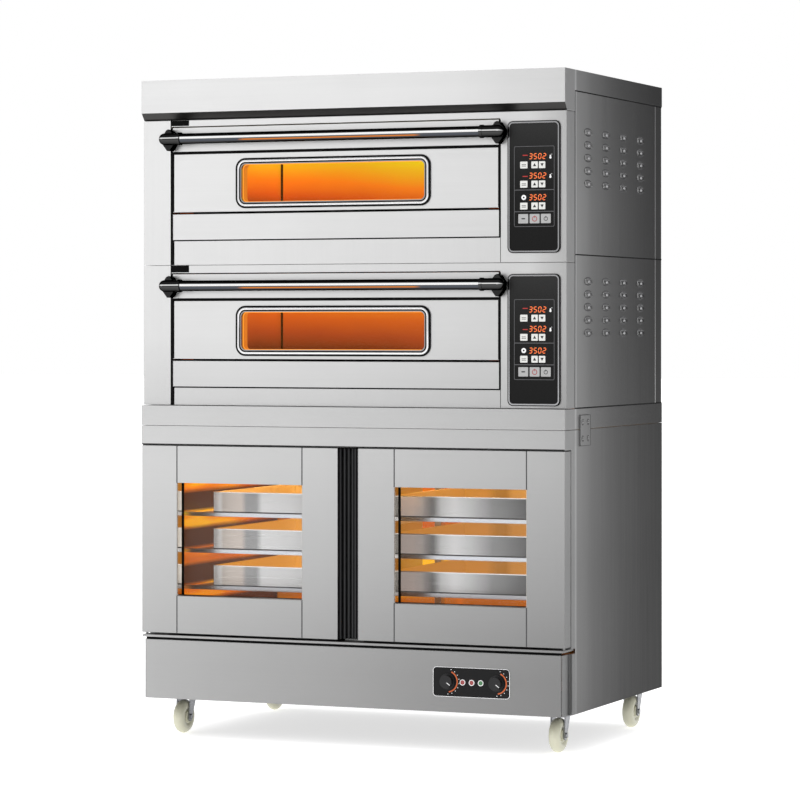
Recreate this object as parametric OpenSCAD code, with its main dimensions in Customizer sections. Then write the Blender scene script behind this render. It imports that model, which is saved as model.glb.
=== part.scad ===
// Two-deck electric bakery oven standing on a proofing cabinet with glazed doors.
// X runs across the front (positive to the right), +Y runs from the front to the
// back, +Z is up. Lengths are in millimetres.

/* [Cabinet] */
// Overall width across the side panels
body_w = 1230; // [1100:5:1400]
// Depth of the side panels, from their front edge to the back
side_d = 720; // [640:5:860]
// Thickness of the outer sheet metal
sheet = 2; // [1.5:0.5:3]
// Height of the underside of the cabinet above the floor
base_z = 108; // [104:1:130]
// Height of the top of the hood
top_z = 1793; // [1780:1:1850]

/* [Fronts] */
// How far the hood and the plinth stand in front of the side panels
hood_out = 78; // [70:1:90]
// How far the deck fascias stand in front of the side panels
fascia_out = 65; // [60:1:68]
// How far the proofer doors stand in front of the side panels
pdoor_out = 77; // [76:1:90]

/* [Oven decks] */
// Height of the bottom of the lower deck
deck_z = 907; // [905:1:910]
// Height of one deck
deck_h = 399; // [395:1:400]
// Left edge of the oven mouth, from the centre line
mouth_l = -530; // [-540:1:-520]
// Right edge of the oven mouth, from the centre line
mouth_r = 430; // [420:1:440]
// Depth of the baking chamber
chamber_d = 545; // [500:5:580]

/* [Oven doors] */
// Gap between each side of a door and its opening
door_gap = 4; // [3:0.5:6]
// Diameter of the handle bar
bar_d = 29; // [24:1:32]
// Distance of the handle bar's axis in front of the door face
bar_out = 34; // [30:1:40]
// Width of the window bezel
win_w = 564; // [500:2:600]
// Height of the window bezel
win_h = 131; // [120:1:140]

/* [Proofer] */
// Gap between the proofer doors' steel edges, which the two pulls fill
pull_gap = 60; // [56:2:80]
// Width of a proofer tray
tray_w = 400; // [360:5:410]
// Height of a proofer tray
tray_h = 61; // [50:1:65]
// Vertical spacing of the trays
tray_pitch = 101; // [100:1:110]

/* [Casters] */
// Diameter of the caster wheels
wheel_d = 92; // [85:1:96]
// Width of the caster wheels
wheel_w = 32; // [26:1:34]
// Distance from the swivel axis to the wheel axle
trail = 22; // [15:1:26]

/* [Hidden] */
$fn = 48;

hw = body_w / 2;
// Front-most point is the collars on the handle bosses; the origin is the middle of the footprint
boss_r = 16;
bar_y = -fascia_out - bar_out;
collar_r = boss_r + 1.5;
front_y = bar_y - collar_r;
yc = (side_d + front_y) / 2;
g = 1;                       // gap between neighbouring sheet-metal pieces
deck2_z = deck_z + deck_h;   // bottom of the upper deck
joint_z = deck2_z - 18;      // where the two deck fascias meet
hood_z = 1684;               // underside of the hood nose
skirt_z = 1739;              // bottom of the hood's side skirts
plinth_z = 852;              // bottom of the plinth
rail_z = 800;                // bottom of the proofer's top rail
// Levels within one deck, from its bottom
sill_lo = 50;
sill_hi = 121;
door_lo = 127;
door_hi = 357;
door_l = mouth_l + door_gap;
door_r = mouth_r - door_gap;
door_t = 39;
pin_r = 4;
pin_c = 8;                   // hinge axis to the door's front face and edge
pf_y = -pdoor_out + 47;       // front of the posts that the proofer doors close on
ppin_y = 14;                 // proofer hinge axis behind that door's front face
win_x = -50.5;               // middle of the window
win_c = 203;             // middle of the window above the deck bottom
pan_x = 525;                 // middle of the control panel
pan_w = 144;
pan_h = 343;
pan_c = 179.5;                 // its height above the deck bottom
// Proofer
pd_lo = 287;
pd_hi = 797;
pd_t = 45;
pd_in = pull_gap / 2;
pd_out_x = hw - 1;
ledge_lo = 275;
ledge_hi = 281;
base_hi = 268;
// Casters: swivel axes and wheel centres
cast_x = 550;
wheel_yf = 50;
wheel_yr = 645;
plate_t = 4;
wheel_r = wheel_d / 2;
plinth_top = deck_z - 0.5;

// ---------- helpers ----------
module bx(a, b) { translate(a) cube([b[0]-a[0], b[1]-a[1], b[2]-a[2]]); }
module place() { translate([0, -yc, 0]) children(); }
// Rounded rectangle in the plane of the front, centred at x, z
module rr2(w, h, r) {
    square([w - 2*r, h], center=true);
    square([w, h - 2*r], center=true);
    for (sx=[-1,1], sz=[-1,1]) translate([sx*(w/2 - r), sz*(h/2 - r)]) circle(r=r, $fn=48);
}
// Extrude a front-plane outline from y0 to y1
module front(y0, y1) { translate([0, y1, 0]) rotate([90,0,0]) linear_extrude(height=y1-y0) children(); }
// Extrude a side-plane outline (y, z) from x0 to x1
module across(x0, x1) { translate([x0,0,0]) rotate([90,0,90]) linear_extrude(height=x1-x0) children(); }
// Cylinder along X, Y
module cx(r, x0, x1, fn=48) { translate([x0,0,0]) rotate([0,90,0]) cylinder(r=r, h=x1-x0, $fn=fn); }
module cy(r, y0, y1, fn=48) { translate([0,y0,0]) rotate([-90,0,0]) cylinder(r=r, h=y1-y0, $fn=fn); }

// ---------- outer casing ----------
module hood() color("gainsboro") place() difference() {
    union() {
        across(-hw, hw) polygon([[0,skirt_z],[0,top_z],[-hood_out,top_z],[-hood_out,hood_z+20],
                                 [-hood_out+17,hood_z],[-2,hood_z],[-2,skirt_z]]);
        bx([-hw,-1,skirt_z],[hw,side_d,top_z]);
    }
    across(-hw+sheet, hw-sheet) polygon([[0,skirt_z-60],[0,top_z-sheet],[-hood_out+sheet,top_z-sheet],
                                 [-hood_out+sheet,hood_z+21],[-hood_out+19,hood_z+sheet],[-4,hood_z+sheet],[-4,skirt_z-60]]);
    bx([-hw+sheet,-2,skirt_z-1],[hw-sheet,side_d-sheet,top_z-sheet]);
}

// One side panel of a deck; s is the side, z0..z1 the height. The upper and lower
// ones carry a 4 x 5 field of pressed louvres.
module side_panel(s, z0, z1, lz) color("silver") place() {
    difference() {
        union() {
            bx([s>0 ? hw-sheet : -hw, 0, z0],[s>0 ? hw : -hw+sheet, side_d-62, z1]);
            // rear cover strip, set back by its own joggle
            bx([s>0 ? hw-2*sheet : -hw+sheet-1, side_d-62-8, z0],[s>0 ? hw-1.5 : -hw+2*sheet-0.5, side_d-sheet, z1]);
            // front return flange
            bx([s>0 ? hw-14 : -hw, 0, z0],[s>0 ? hw : -hw+14, sheet, z1]);
        }
        // louvre slots
        for (i=[0:3], k=[0:4]) louvre_at(s, i, k, lz) bx([-6,-22.6,-6.5],[6,22.6,3]);
    }
    for (i=[0:3], k=[0:4]) louvre_at(s, i, k, lz) louvre(s);
}
module louvre_at(s, i, k, lz) translate([s*(hw-sheet/2), 99 + i*143, lz - k*34]) children();
// A pressed lance: a lip that stands proud over its slot
module louvre(s) difference() {
    intersection() {
        translate([s*(sheet/2 - 14.4), 0, -6.5]) cy(19.4, -24, 24, 96);
        bx([s>0 ? -0.9 : -8, -25, -6.5],[s>0 ? 8 : 0.9, 25, 8]);
    }
    intersection() {
        translate([s*(sheet/2 - 14.4), 0, -6.5]) cy(18, -22.6, 22.6, 96);
        bx([-10, -25, -8],[10, 25, 8]);
    }
}

module side_upper_left()  side_panel(-1, deck2_z+g+3, skirt_z-g, 1634);
module side_upper_right() side_panel( 1, deck2_z+g+3, skirt_z-g, 1634);
module side_lower_left()  side_panel(-1, deck_z+g, deck2_z+3, 1241);
module side_lower_right() side_panel( 1, deck_z+g, deck2_z+3, 1241);

module oven_back() color("silver") place() difference() {
    bx([-hw+10, side_d-sheet, deck_z+g],[hw-10, side_d, skirt_z-g]);
    for (d=[0,1], i=[-6:6]) bx([i*50-16, side_d-5, deck_z+d*deck_h+300],[i*50+16, side_d+5, deck_z+d*deck_h+308]);
    translate([-420, 0, deck_z+120]) cy(14, side_d-5, side_d+5);
}

// ---------- deck fronts ----------
// Folded fascia of one deck: two stiles, a bottom rail and a head strip, open at the
// back, with a bearing block at each bottom corner of the door opening
module front_frame(dl, z0, z1) color("gainsboro") place() {
    difference() {
        bx([-hw+0.5,-fascia_out, z0],[hw-0.5, -0.5, z1]);
        bx([mouth_l,-fascia_out-1, dl+sill_lo-2],[mouth_r, 1, dl+door_hi+3]);            // mouth
        bx([-hw+sheet+0.5,-fascia_out+sheet, z0+sheet],[mouth_l-sheet, 1, z1-sheet]);          // left stile
        bx([mouth_r+sheet,-fascia_out+sheet, z0+sheet],[hw-sheet-0.5, 1, z1-sheet]);           // right stile
        bx([mouth_l,-fascia_out+sheet, z0+sheet],[mouth_r, 1, dl+sill_lo-2-sheet]);             // bottom rail
        bx([mouth_l,-fascia_out+sheet, dl+door_hi+3+sheet],[mouth_r, 1, z1-sheet]);             // head strip
        // bearing holes for the door pins
        translate([0,-fascia_out+pin_c, dl+door_lo+pin_c]) cx(pin_r+0.05, mouth_l-30, mouth_r+30);
        // hole behind the control panel
        translate([pan_x,0,dl+pan_c]) front(-fascia_out-1, -fascia_out+sheet+1) rr2(pan_w-20, pan_h-20, 8);
    }
    // bearing blocks
    for (s=[0,1]) difference() {
        bx([s ? mouth_r+sheet : mouth_l-sheet-12, -fascia_out+sheet, dl+door_lo-6],
           [s ? mouth_r+sheet+12 : mouth_l-sheet, -fascia_out+sheet+22, dl+door_lo+24]);
        translate([0,-fascia_out+pin_c, dl+door_lo+pin_c]) cx(pin_r+0.05, mouth_l-40, mouth_r+40);
    }
}
module front_frame_upper() front_frame(deck2_z, joint_z+g, hood_z-g);
module front_frame_lower() front_frame(deck_z, deck_z+g, joint_z);

module sill(dl) color("gainsboro") place() difference() {
    bx([mouth_l+3,-fascia_out+1, dl+sill_lo],[mouth_r-3, -27, dl+sill_hi]);
    bx([mouth_l+3+sheet,-fascia_out+1+sheet, dl+sill_lo+sheet],[mouth_r-3-sheet, 0, dl+sill_hi-sheet]);
}
module sill_upper() sill(deck2_z);
module sill_lower() sill(deck_z);

// Folded liner of one baking chamber, open at the front, with the flange the door closes on
module chamber(dl) color("dimgray") place() difference() {
    union() {
        bx([mouth_l+44, -24, dl+100],[mouth_r-44, chamber_d, dl+340]);
        bx([mouth_l+4, -24, dl+52],[mouth_r-4, -21, dl+358]);
    }
    bx([mouth_l+47, -25, dl+103],[mouth_r-47, chamber_d-3, dl+337]);
}
module chamber_upper() chamber(deck2_z);
module chamber_lower() chamber(deck_z);

// Hearth plate that the bread is baked on
module hearth(dl) color("darkgray") place() union() {
    bx([mouth_l+50, -18, dl+126],[mouth_r-50, chamber_d-6, dl+134]);
    for (x=[mouth_l+60, -56, mouth_r-72], y=[20, 223, 515]) bx([x, y, dl+103.2],[x+12, y+12, dl+126]);
}
module hearth_upper() hearth(deck2_z);
module hearth_lower() hearth(deck_z);

// Tubular elements: five hairpins under the roof and five under the hearth
module hairpin(x0, x1, y, p, r) {
    for (k=[0,1]) translate([0, y+k*p, 0]) cx(r, x0+p/2, x1, 24);
    translate([x0+p/2, y+p/2, 0]) rotate([0,0,90]) rotate_extrude(angle=180, $fn=48) translate([p/2,0]) circle(r=r, $fn=24);
}
module heaters(dl) color("sienna") place() {
    for (i=[0:4], z=[114, 322]) translate([0,0,dl+z]) hairpin(mouth_l+70, mouth_r-47.2, 55+i*100, 50, 4);
}
module heaters_upper() heaters(deck2_z);
module heaters_lower() heaters(deck_z);

// ---------- deck controls ----------
module bezel(dl) color("silver") place() translate([pan_x,0,dl+pan_c]) difference() {
    front(-fascia_out-5, -fascia_out-0.02) rr2(pan_w, pan_h, 14);
    front(-fascia_out-6, -fascia_out+1) rr2(pan_w-10, pan_h-10, 10);
}
module bezel_upper() bezel(deck2_z);
module bezel_lower() bezel(deck_z);

// Film overlay with raised membrane pads over the domes and three display windows
module overlay(dl) color("#101012") place() translate([pan_x,0,dl+pan_c]) {
    difference() {
        front(-fascia_out-3, -fascia_out-0.02) rr2(pan_w-10.6, pan_h-10.6, 9.7);
        for (z=[79.5, 29, -27.5]) translate([10,0,z]) front(-fascia_out-4, -fascia_out-2) rr2(58, 20, 2);
    }
    for (z=[57, 7, -50]) {
        translate([-27.5,0,z]) pad(21, 18.5);
        translate([2.4,0,z]) pad(18.5, 18.5);
        translate([23.2,0,z]) pad(18.5, 18.5);
    }
    for (x=[-29,2.5,33.5]) translate([x,0,-83]) pad(28, 25);
}
module pad(w, h) front(-fascia_out-3.8, -fascia_out-3) rr2(w, h, 3);
module overlay_upper() overlay(deck2_z);
module overlay_lower() overlay(deck_z);

// ---------- plinth and proofer ----------
module plinth() color("silver") place() difference() {
    bx([-hw,-hood_out, plinth_z+0.5],[hw, side_d, plinth_top]);
    bx([-hw+sheet,-hood_out+sheet, plinth_z-1],[hw-sheet, side_d-sheet, plinth_top-sheet]);
}

module proofer_wrap() color("gray") place() difference() {
    bx([-hw, 0, base_z],[hw, side_d, plinth_z-0.5]);
    bx([-hw+sheet, -1, base_z-1],[hw-sheet, side_d-sheet, plinth_z]);
}

// Front frame: top rail, centre post, jambs and the ledge the doors close over
module proofer_frame() color("silver") place() difference() {
    union() {
        difference() {
            bx([-hw+sheet+0.5, -hood_out, rail_z],[hw-sheet-0.5, 30, plinth_z-0.5]);
            bx([-hw+sheet+0.5+16, -hood_out+sheet, rail_z+sheet],[hw-sheet-0.5-16, 31, plinth_z-0.5-sheet]);
        }
        bx([-hw,-hood_out, rail_z],[-hw+sheet+0.5,-0.5,plinth_z-0.5]);
        bx([hw-sheet-0.5,-hood_out, rail_z],[hw,-0.5,plinth_z-0.5]);
        for (s=[-1,1]) bx([s>0 ? 556 : -hw+sheet+0.5, pf_y, ledge_hi],[s>0 ? hw-sheet-0.5 : -556, pf_y+4, rail_z]);
        for (s=[-1,1]) bx([s>0 ? 556 : -560, pf_y, ledge_hi],[s>0 ? 560 : -556, 20, rail_z]);
        for (s=[-1,1]) bx([s>0 ? hw-sheet-0.5 : -hw, pf_y, ledge_hi],[s>0 ? hw : -hw+sheet+0.5, -0.5, rail_z]);
        bx([-28,pf_y, ledge_hi],[28,pf_y+6, rail_z]);
        bx([-28,pf_y, ledge_hi],[-25,0, rail_z]);
        bx([25,pf_y, ledge_hi],[28,0, rail_z]);
        bx([-hw+4,-hood_out-3, ledge_lo],[hw-4,-0.5, ledge_hi]);
    }
    for (s=[-1,1]) translate([s*(pd_out_x-pin_c), -pdoor_out+ppin_y, 0]) {
        translate([0,0,ledge_lo-1]) cylinder(r=pin_r+0.05, h=30, $fn=48);
        translate([0,0,rail_z-1]) cylinder(r=pin_r+0.05, h=14, $fn=48);
    }
}

module proofer_liner() color("darkorange") place() difference() {
    bx([-555, 22, 282],[555, 660, 793]);
    bx([-552, 21, 285],[552, 657, 790]);
}

// Centre uprights with angle runners for the trays, three levels in two columns
rack_z = 405;
tray_x = 65 + tray_w/2;
module tray_rack() color("lightgray") place() {
    for (y=[80, 560]) bx([-10, y, 285.2],[10, y+25, 676]);
    for (k=[0:2], s=[-1,1]) {
        z = rack_z + k*tray_pitch;
        w = tray_x + tray_w/2 - 10;
        bx([s>0 ? w : -551.5, 62, z-5],[s>0 ? 551.5 : -w, 600, z-2]);
        bx([s>0 ? 10.02 : -75, 62, z-5],[s>0 ? 75 : -10.02, 600, z-2]);
        // front bar that ties each pair of runners
        bx([s>0 ? 10 : -551.5, 56, z-8],[s>0 ? 551.5 : -10, 61.98, z+3]);
    }
}

// Deep dough trays: folded boxes with a rolled rim
module dough_trays() color("lightgray") place() {
    for (s=[-1,1], k=[0:2]) translate([s*tray_x, 63, rack_z-1.8 + k*tray_pitch]) difference() {
        bx([-tray_w/2, 0, 0],[tray_w/2, 540, tray_h]);
        bx([-tray_w/2+1.5, 1.5, 1.5],[tray_w/2-1.5, 538.5, tray_h+1]);
    }
}

module base_front() color("gray") place() difference() {
    union() {
        translate([0,0,base_z]) linear_extrude(height=base_hi-base_z) {
            translate([-hw+16, -pdoor_out]) square([2*hw-32, 20]);
            translate([-hw+8, -pdoor_out+8]) square([2*hw-16, pdoor_out-8.5]);
            translate([-hw+0.5, -22]) square([2*hw-1, 21.5]);
            for (s=[-1,1]) translate([s*(hw-16), -pdoor_out+8]) circle(r=8, $fn=48);
        }
    }
    bx([-hw+8+sheet, -pdoor_out+sheet, base_z+sheet],[hw-8-sheet, 1, base_hi-sheet]);
    // bores for the two knob spindles and the three lamps
    for (x=[knob_x1, knob_x2]) translate([x,0,knob_z]) cy(4.05, -pdoor_out-5, -pdoor_out+10);
    for (i=[0:2]) translate([lamp_x+i*25.5,0,knob_z-1]) cy(5, -pdoor_out-5, -pdoor_out+10);
}

// Floor of the cabinet, folded up at the edges, which carries the casters
module base_pan() color("gray") place() difference() {
    bx([-hw+sheet+0.5, 0.5, base_z],[hw-sheet-0.5, side_d-sheet-0.5, base_z+60]);
    bx([-hw+2*sheet+1, 2.5, base_z+3],[hw-2*sheet-1, side_d-2*sheet-1, base_z+61]);
}

knob_z = 189;
knob_x1 = 287;
knob_x2 = 425;
lamp_x = 330;
kp_c = 354;
module knob_plate() color("#151515") place() difference() {
    translate([kp_c,0,188]) front(-pdoor_out-2, -pdoor_out-0.02) rr2(214, 76, 9);
    for (x=[knob_x1, knob_x2]) translate([x,0,knob_z]) cy(4.05, -pdoor_out-5, -pdoor_out+10);
    for (i=[0:2]) translate([lamp_x+i*25.5,0,knob_z-1]) cy(5, -pdoor_out-5, -pdoor_out+10);
}
module indicator_lamps() color("firebrick") place() for (i=[0:2]) translate([lamp_x+i*25.5,0,knob_z-1]) {
    cy(4.8, -pdoor_out-3.5, -pdoor_out+14, 32);
    cy(7, -pdoor_out-3.4, -pdoor_out-2.02, 32);
}

module proofer_heater() color("sienna") place() {
    for (i=[0:1]) translate([0,0,306]) hairpin(-500, 548, 200+i*200, 80, 5);
    for (x=[-300, 200]) bx([x, 190, 285.2],[x+8, 490, 300.8]);
}

// Plates that tie the proofer to the plinth, each with four screws
module joint_plates() color("silver") place() for (s=[-1,1]) {
    bx([s>0 ? hw+0.02 : -hw-2.5, 33, 808],[s>0 ? hw+2.5 : -hw-0.02, 113, 889]);
    for (y=[52,94], z=[827,870]) translate([s>0 ? hw+2.5 : -hw-2.5, y, z]) rotate([0,s*90,0]) {
        cylinder(r1=5.5, r2=3.4, h=2.2, $fn=32);
    }
}

module cable_gland() color("black") place() translate([-420, 0, deck_z+120]) difference() {
    union() {
        cy(13, side_d-12, side_d, 48);
        cy(19, side_d-6, side_d-2.1, 48);
    }
    cy(7, side_d-13, side_d+1, 48);
}

// ---------- oven doors (drop down about their bottom edge) ----------
module door_body(dl) color("gainsboro") place() {
    difference() {
        union() {
            bx([door_l,-fascia_out, dl+door_lo],[door_r,-fascia_out+door_t, dl+door_hi]);
        }
        // groove that parts the handle strip from the window panel
        bx([door_l-1,-fascia_out-1, dl+284.5],[door_r+1,-fascia_out+5, dl+289.5]);
        // hollow between skin and inner sheet
        bx([door_l+sheet,-fascia_out+sheet, dl+door_lo+18],[door_r-sheet,-fascia_out+door_t-sheet, dl+282.5]);
        bx([door_l+sheet,-fascia_out+sheet, dl+291.5],[door_r-sheet,-fascia_out+door_t-sheet, dl+door_hi-sheet]);
        bx([door_l+sheet,-fascia_out+7, dl+281.5],[door_r-sheet,-fascia_out+door_t-sheet, dl+292.5]);
        // window
        translate([win_x,0,dl+win_c]) front(-fascia_out-1, -fascia_out+door_t+1) rr2(win_w-24, win_h-24, 16);
    }
    // window frame inside the door
    translate([win_x,0,dl+win_c]) difference() {
        front(-fascia_out+sheet, -fascia_out+door_t-sheet) rr2(win_w-16, win_h-16, 20);
        front(-fascia_out, -fascia_out+door_t) rr2(win_w-24, win_h-24, 16);
    }
    // hinge pins
    translate([0,-fascia_out+pin_c, dl+door_lo+pin_c]) {
        cx(pin_r, door_l-12, door_l);
        cx(pin_r, door_r, door_r+12);
    }
}
module door_upper() door_body(deck2_z);
module door_lower() door_body(deck_z);

module door_glass(dl) color("orange", 0.5) place() translate([win_x,0,dl+win_c])
    front(-fascia_out+9, -fascia_out+14) rr2(win_w-24.6, win_h-24.6, 15.7);
module door_glass_upper() door_glass(deck2_z);
module door_glass_lower() door_glass(deck_z);

module window_bezel(dl) color("silver") place() translate([win_x,0,dl+win_c]) difference() {
    union() {
        front(-fascia_out-4, -fascia_out-0.02) rr2(win_w, win_h, 26);
        front(-fascia_out-0.02, -fascia_out+8.8) rr2(win_w-24.6, win_h-24.6, 15.7);
    }
    front(-fascia_out-5, -fascia_out+10) rr2(win_w-29, win_h-29, 13);
}
module window_bezel_upper() window_bezel(deck2_z);
module window_bezel_lower() window_bezel(deck_z);

bar_z = 325;                 // handle axis above the deck bottom
module handle_bar(dl) color("silver") place() translate([0,bar_y,dl+bar_z]) difference() {
    cx(bar_d/2-0.02, door_l+26, door_r-22);
    cx(bar_d/2-1.5, door_l+25, door_r-21);
}
module handle_bar_upper() handle_bar(deck2_z);
module handle_bar_lower() handle_bar(deck_z);

// Cast end bracket: a boss round the bar's end on a foot that tapers up and down
module bracket(s) {
    difference() {
        union() {
            cx(boss_r, -24, 26);
            cx(collar_r, 18, 26);
            translate([-24,0,0]) sphere(r=boss_r, $fn=48);
            translate([foot_x,0,0]) front(6, bar_out-1) polygon([[-19,5],[-6,24],[0,27],[6,24],[19,5],[17,-14],[3,-32],[-3,-32],[-17,-14]]);
            // the part of the foot that bears on the door
            translate([foot_x,0,0]) front(bar_out-2, bar_out-0.05) polygon([[6,20],[8,21],[17,5],[15,-14],[8,-28],[6,-28]]);
        }
        cx(bar_d/2, 9.9, 40);
    }
}
foot_x = -17;
module handle_brackets(dl) color("#202020") place() {
    translate([door_l+16, bar_y, dl+bar_z]) bracket(-1);
    translate([door_r-12, bar_y, dl+bar_z]) mirror([1,0,0]) bracket(1);
}
module handle_brackets_upper() handle_brackets(deck2_z);
module handle_brackets_lower() handle_brackets(deck_z);

// ---------- proofer doors (swing about their outer edges) ----------
pw_i = 104;                  // inner and outer stile widths beside the window
pw_o = 106;
pw_z0 = 388.5;
pw_z1 = 696.5;
module proofer_door(s) color("silver") place() mirror([s<0 ? 1 : 0, 0, 0]) {
    difference() {
        bx([pd_in,-pdoor_out, pd_lo],[pd_out_x,-pdoor_out+pd_t, pd_hi]);
        bx([pd_in+pw_i,-pdoor_out-1, pw_z0],[pd_out_x-pw_o,-pdoor_out+pd_t+1, pw_z1]);
        // hollow stiles and rails
        bx([pd_in+sheet,-pdoor_out+sheet, pd_lo+20],[pd_in+pw_i-sheet,-pdoor_out+pd_t-sheet, pd_hi-20]);
        bx([pd_out_x-pw_o+sheet,-pdoor_out+sheet, pd_lo+20],[pd_out_x-sheet,-pdoor_out+pd_t-sheet, pd_hi-20]);
        bx([pd_in+pw_i,-pdoor_out+sheet+0.5, pd_lo+20],[pd_out_x-pw_o,-pdoor_out+pd_t-sheet, pw_z0-sheet]);
        bx([pd_in+pw_i,-pdoor_out+sheet+0.5, pw_z1+sheet],[pd_out_x-pw_o,-pdoor_out+pd_t-sheet, pd_hi-20]);
        // joint lines between the stiles and the rails
        for (x=[pd_in+pw_i-0.6, pd_out_x-pw_o-1.4]) {
            bx([x,-pdoor_out-1, pd_lo-1],[x+2,-pdoor_out+1, pw_z0+1]);
            bx([x,-pdoor_out-1, pw_z1-1],[x+2,-pdoor_out+1, pd_hi+1]);
        }
    }
    translate([pd_out_x-pin_c, -pdoor_out+ppin_y, 0]) {
        translate([0,0,pd_lo-12]) cylinder(r=pin_r, h=12, $fn=48);
        translate([0,0,pd_hi]) cylinder(r=pin_r, h=12, $fn=48);
    }
}
module proofer_door_left() proofer_door(-1);
module proofer_door_right() proofer_door(1);

module proofer_glass(s) color("orange", 0.4) place() mirror([s<0 ? 1 : 0, 0, 0])
    bx([pd_in+pw_i+0.3,-pdoor_out+36, pw_z0+0.3],[pd_out_x-pw_o-0.3,-pdoor_out+40, pw_z1-0.3]);
module proofer_glass_left() proofer_glass(-1);
module proofer_glass_right() proofer_glass(1);

// Ribbed full-height pull on each door's inner edge
module proofer_pull(s) color("#151515") place() mirror([s<0 ? 1 : 0, 0, 0]) union() {
    bx([2, -pdoor_out+26, pd_lo+1],[pd_in-0.02, -pdoor_out+42, pd_hi-1]);
    for (i=[0:2]) bx([3+i*10, -pdoor_out+19-i*5, pd_lo+1],[8+i*10, -pdoor_out+26, pd_hi-1]);
}
module proofer_pull_left() proofer_pull(-1);
module proofer_pull_right() proofer_pull(1);

// ---------- casters ----------
module caster_plates() color("silver") place() for (x=[-cast_x, cast_x], y=[wheel_yf+trail, wheel_yr+trail]) translate([x,y,0]) {
    difference() {
        bx([-36,-36,base_z-plate_t-0.02],[36,36,base_z-0.02]);
        for (i=[-1,1], j=[-1,1]) translate([i*27,j*27,base_z-10]) cylinder(r=4.2, h=20, $fn=32);
    }
    translate([0,0,fork_top-10.8]) cylinder(r=5.95, h=base_z-plate_t-fork_top+10.7, $fn=48);
    translate([0,0,fork_top-10.8]) cylinder(r=9, h=2.5, $fn=48);
}
fork_top = base_z - plate_t - 0.6;
module fork(x, y) color("dimgray") place() translate([x,y,0]) {
    difference() {
        union() {
            translate([0,0,fork_top-8]) cylinder(r=27, h=8, $fn=64);
            bx([-wheel_w/2-5,-26,fork_top-10.5],[wheel_w/2+5,12,fork_top-7.9]);
            for (s=[-1,1]) translate([s>0 ? wheel_w/2+2 : -wheel_w/2-5, 0, 0]) rotate([90,0,90]) linear_extrude(height=3) {
                polygon([[-25,fork_top-8],[12,fork_top-8],[-trail+9,wheel_r-5],[-trail-9,wheel_r-5]]);
                translate([-trail, wheel_r-4]) circle(r=9.1, $fn=48);
            }
        }
        translate([0,0,fork_top-20]) cylinder(r=6, h=40, $fn=48);
        translate([0,0,fork_top-20]) cylinder(r=10, h=12, $fn=48);
    }
    // axle with its nut and head
    translate([0,-trail,wheel_r]) {
        cx(3.95, -wheel_w/2-5, wheel_w/2+5, 48);
        cx(7, wheel_w/2+5, wheel_w/2+9, 6);
        cx(7, -wheel_w/2-8, -wheel_w/2-5, 32);
    }
}
module wheel(x, y) color("beige") place() translate([x,y,wheel_r]) rotate([0,90,0]) rotate_extrude($fn=96)
    difference() {
        union() {
            translate([4, -wheel_w/2]) square([12, wheel_w]);
            translate([4, -wheel_w/2+4]) square([wheel_r-4-wheel_w/2+3, wheel_w-8]);
            translate([wheel_r-wheel_w/2, 0]) circle(r=wheel_w/2, $fn=64);
        }
        translate([-1,-40]) square([5, 80]);
    }
module fork_front_left()   fork(-cast_x, wheel_yf+trail);
module fork_front_right()  fork( cast_x, wheel_yf+trail);
module fork_rear_left()    fork(-cast_x, wheel_yr+trail);
module fork_rear_right()   fork( cast_x, wheel_yr+trail);
module wheel_front_left()  wheel(-cast_x, wheel_yf);
module wheel_front_right() wheel( cast_x, wheel_yf);
module wheel_rear_left()   wheel(-cast_x, wheel_yr);
module wheel_rear_right()  wheel( cast_x, wheel_yr);

// ---------- proofer knobs ----------
module knob(x) color("#1c1c1c") place() translate([x,0,knob_z]) {
    difference() {
        union() {
            cy(21, -pdoor_out-5, -pdoor_out-2.3, 64);
            cy(17, -pdoor_out-17, -pdoor_out-4.9, 64);
        }
        rotate([0,125,0]) bx([-1,-pdoor_out-18,3],[1,-pdoor_out-16,18]);
    }
    cy(4, -pdoor_out-3, -pdoor_out+12, 48);
}
module knob_temperature() knob(knob_x1);
module knob_humidity() knob(knob_x2);

hood();
side_upper_left();
side_upper_right();
side_lower_left();
side_lower_right();
oven_back();
front_frame_upper();
front_frame_lower();
sill_upper();
sill_lower();
chamber_upper();
chamber_lower();
hearth_upper();
hearth_lower();
heaters_upper();
heaters_lower();
bezel_upper();
bezel_lower();
overlay_upper();
overlay_lower();
plinth();
proofer_wrap();
proofer_frame();
proofer_liner();
tray_rack();
dough_trays();
base_front();
base_pan();
knob_plate();
indicator_lamps();
proofer_heater();
joint_plates();
caster_plates();
cable_gland();
door_upper();
door_glass_upper();
window_bezel_upper();
handle_bar_upper();
handle_brackets_upper();
door_lower();
door_glass_lower();
window_bezel_lower();
handle_bar_lower();
handle_brackets_lower();
proofer_door_left();
proofer_glass_left();
proofer_pull_left();
proofer_door_right();
proofer_glass_right();
proofer_pull_right();
fork_front_left();
wheel_front_left();
fork_front_right();
wheel_front_right();
fork_rear_left();
wheel_rear_left();
fork_rear_right();
wheel_rear_right();
knob_temperature();
knob_humidity();
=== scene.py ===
import bpy, bmesh, math
from mathutils import Vector, Matrix


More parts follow.
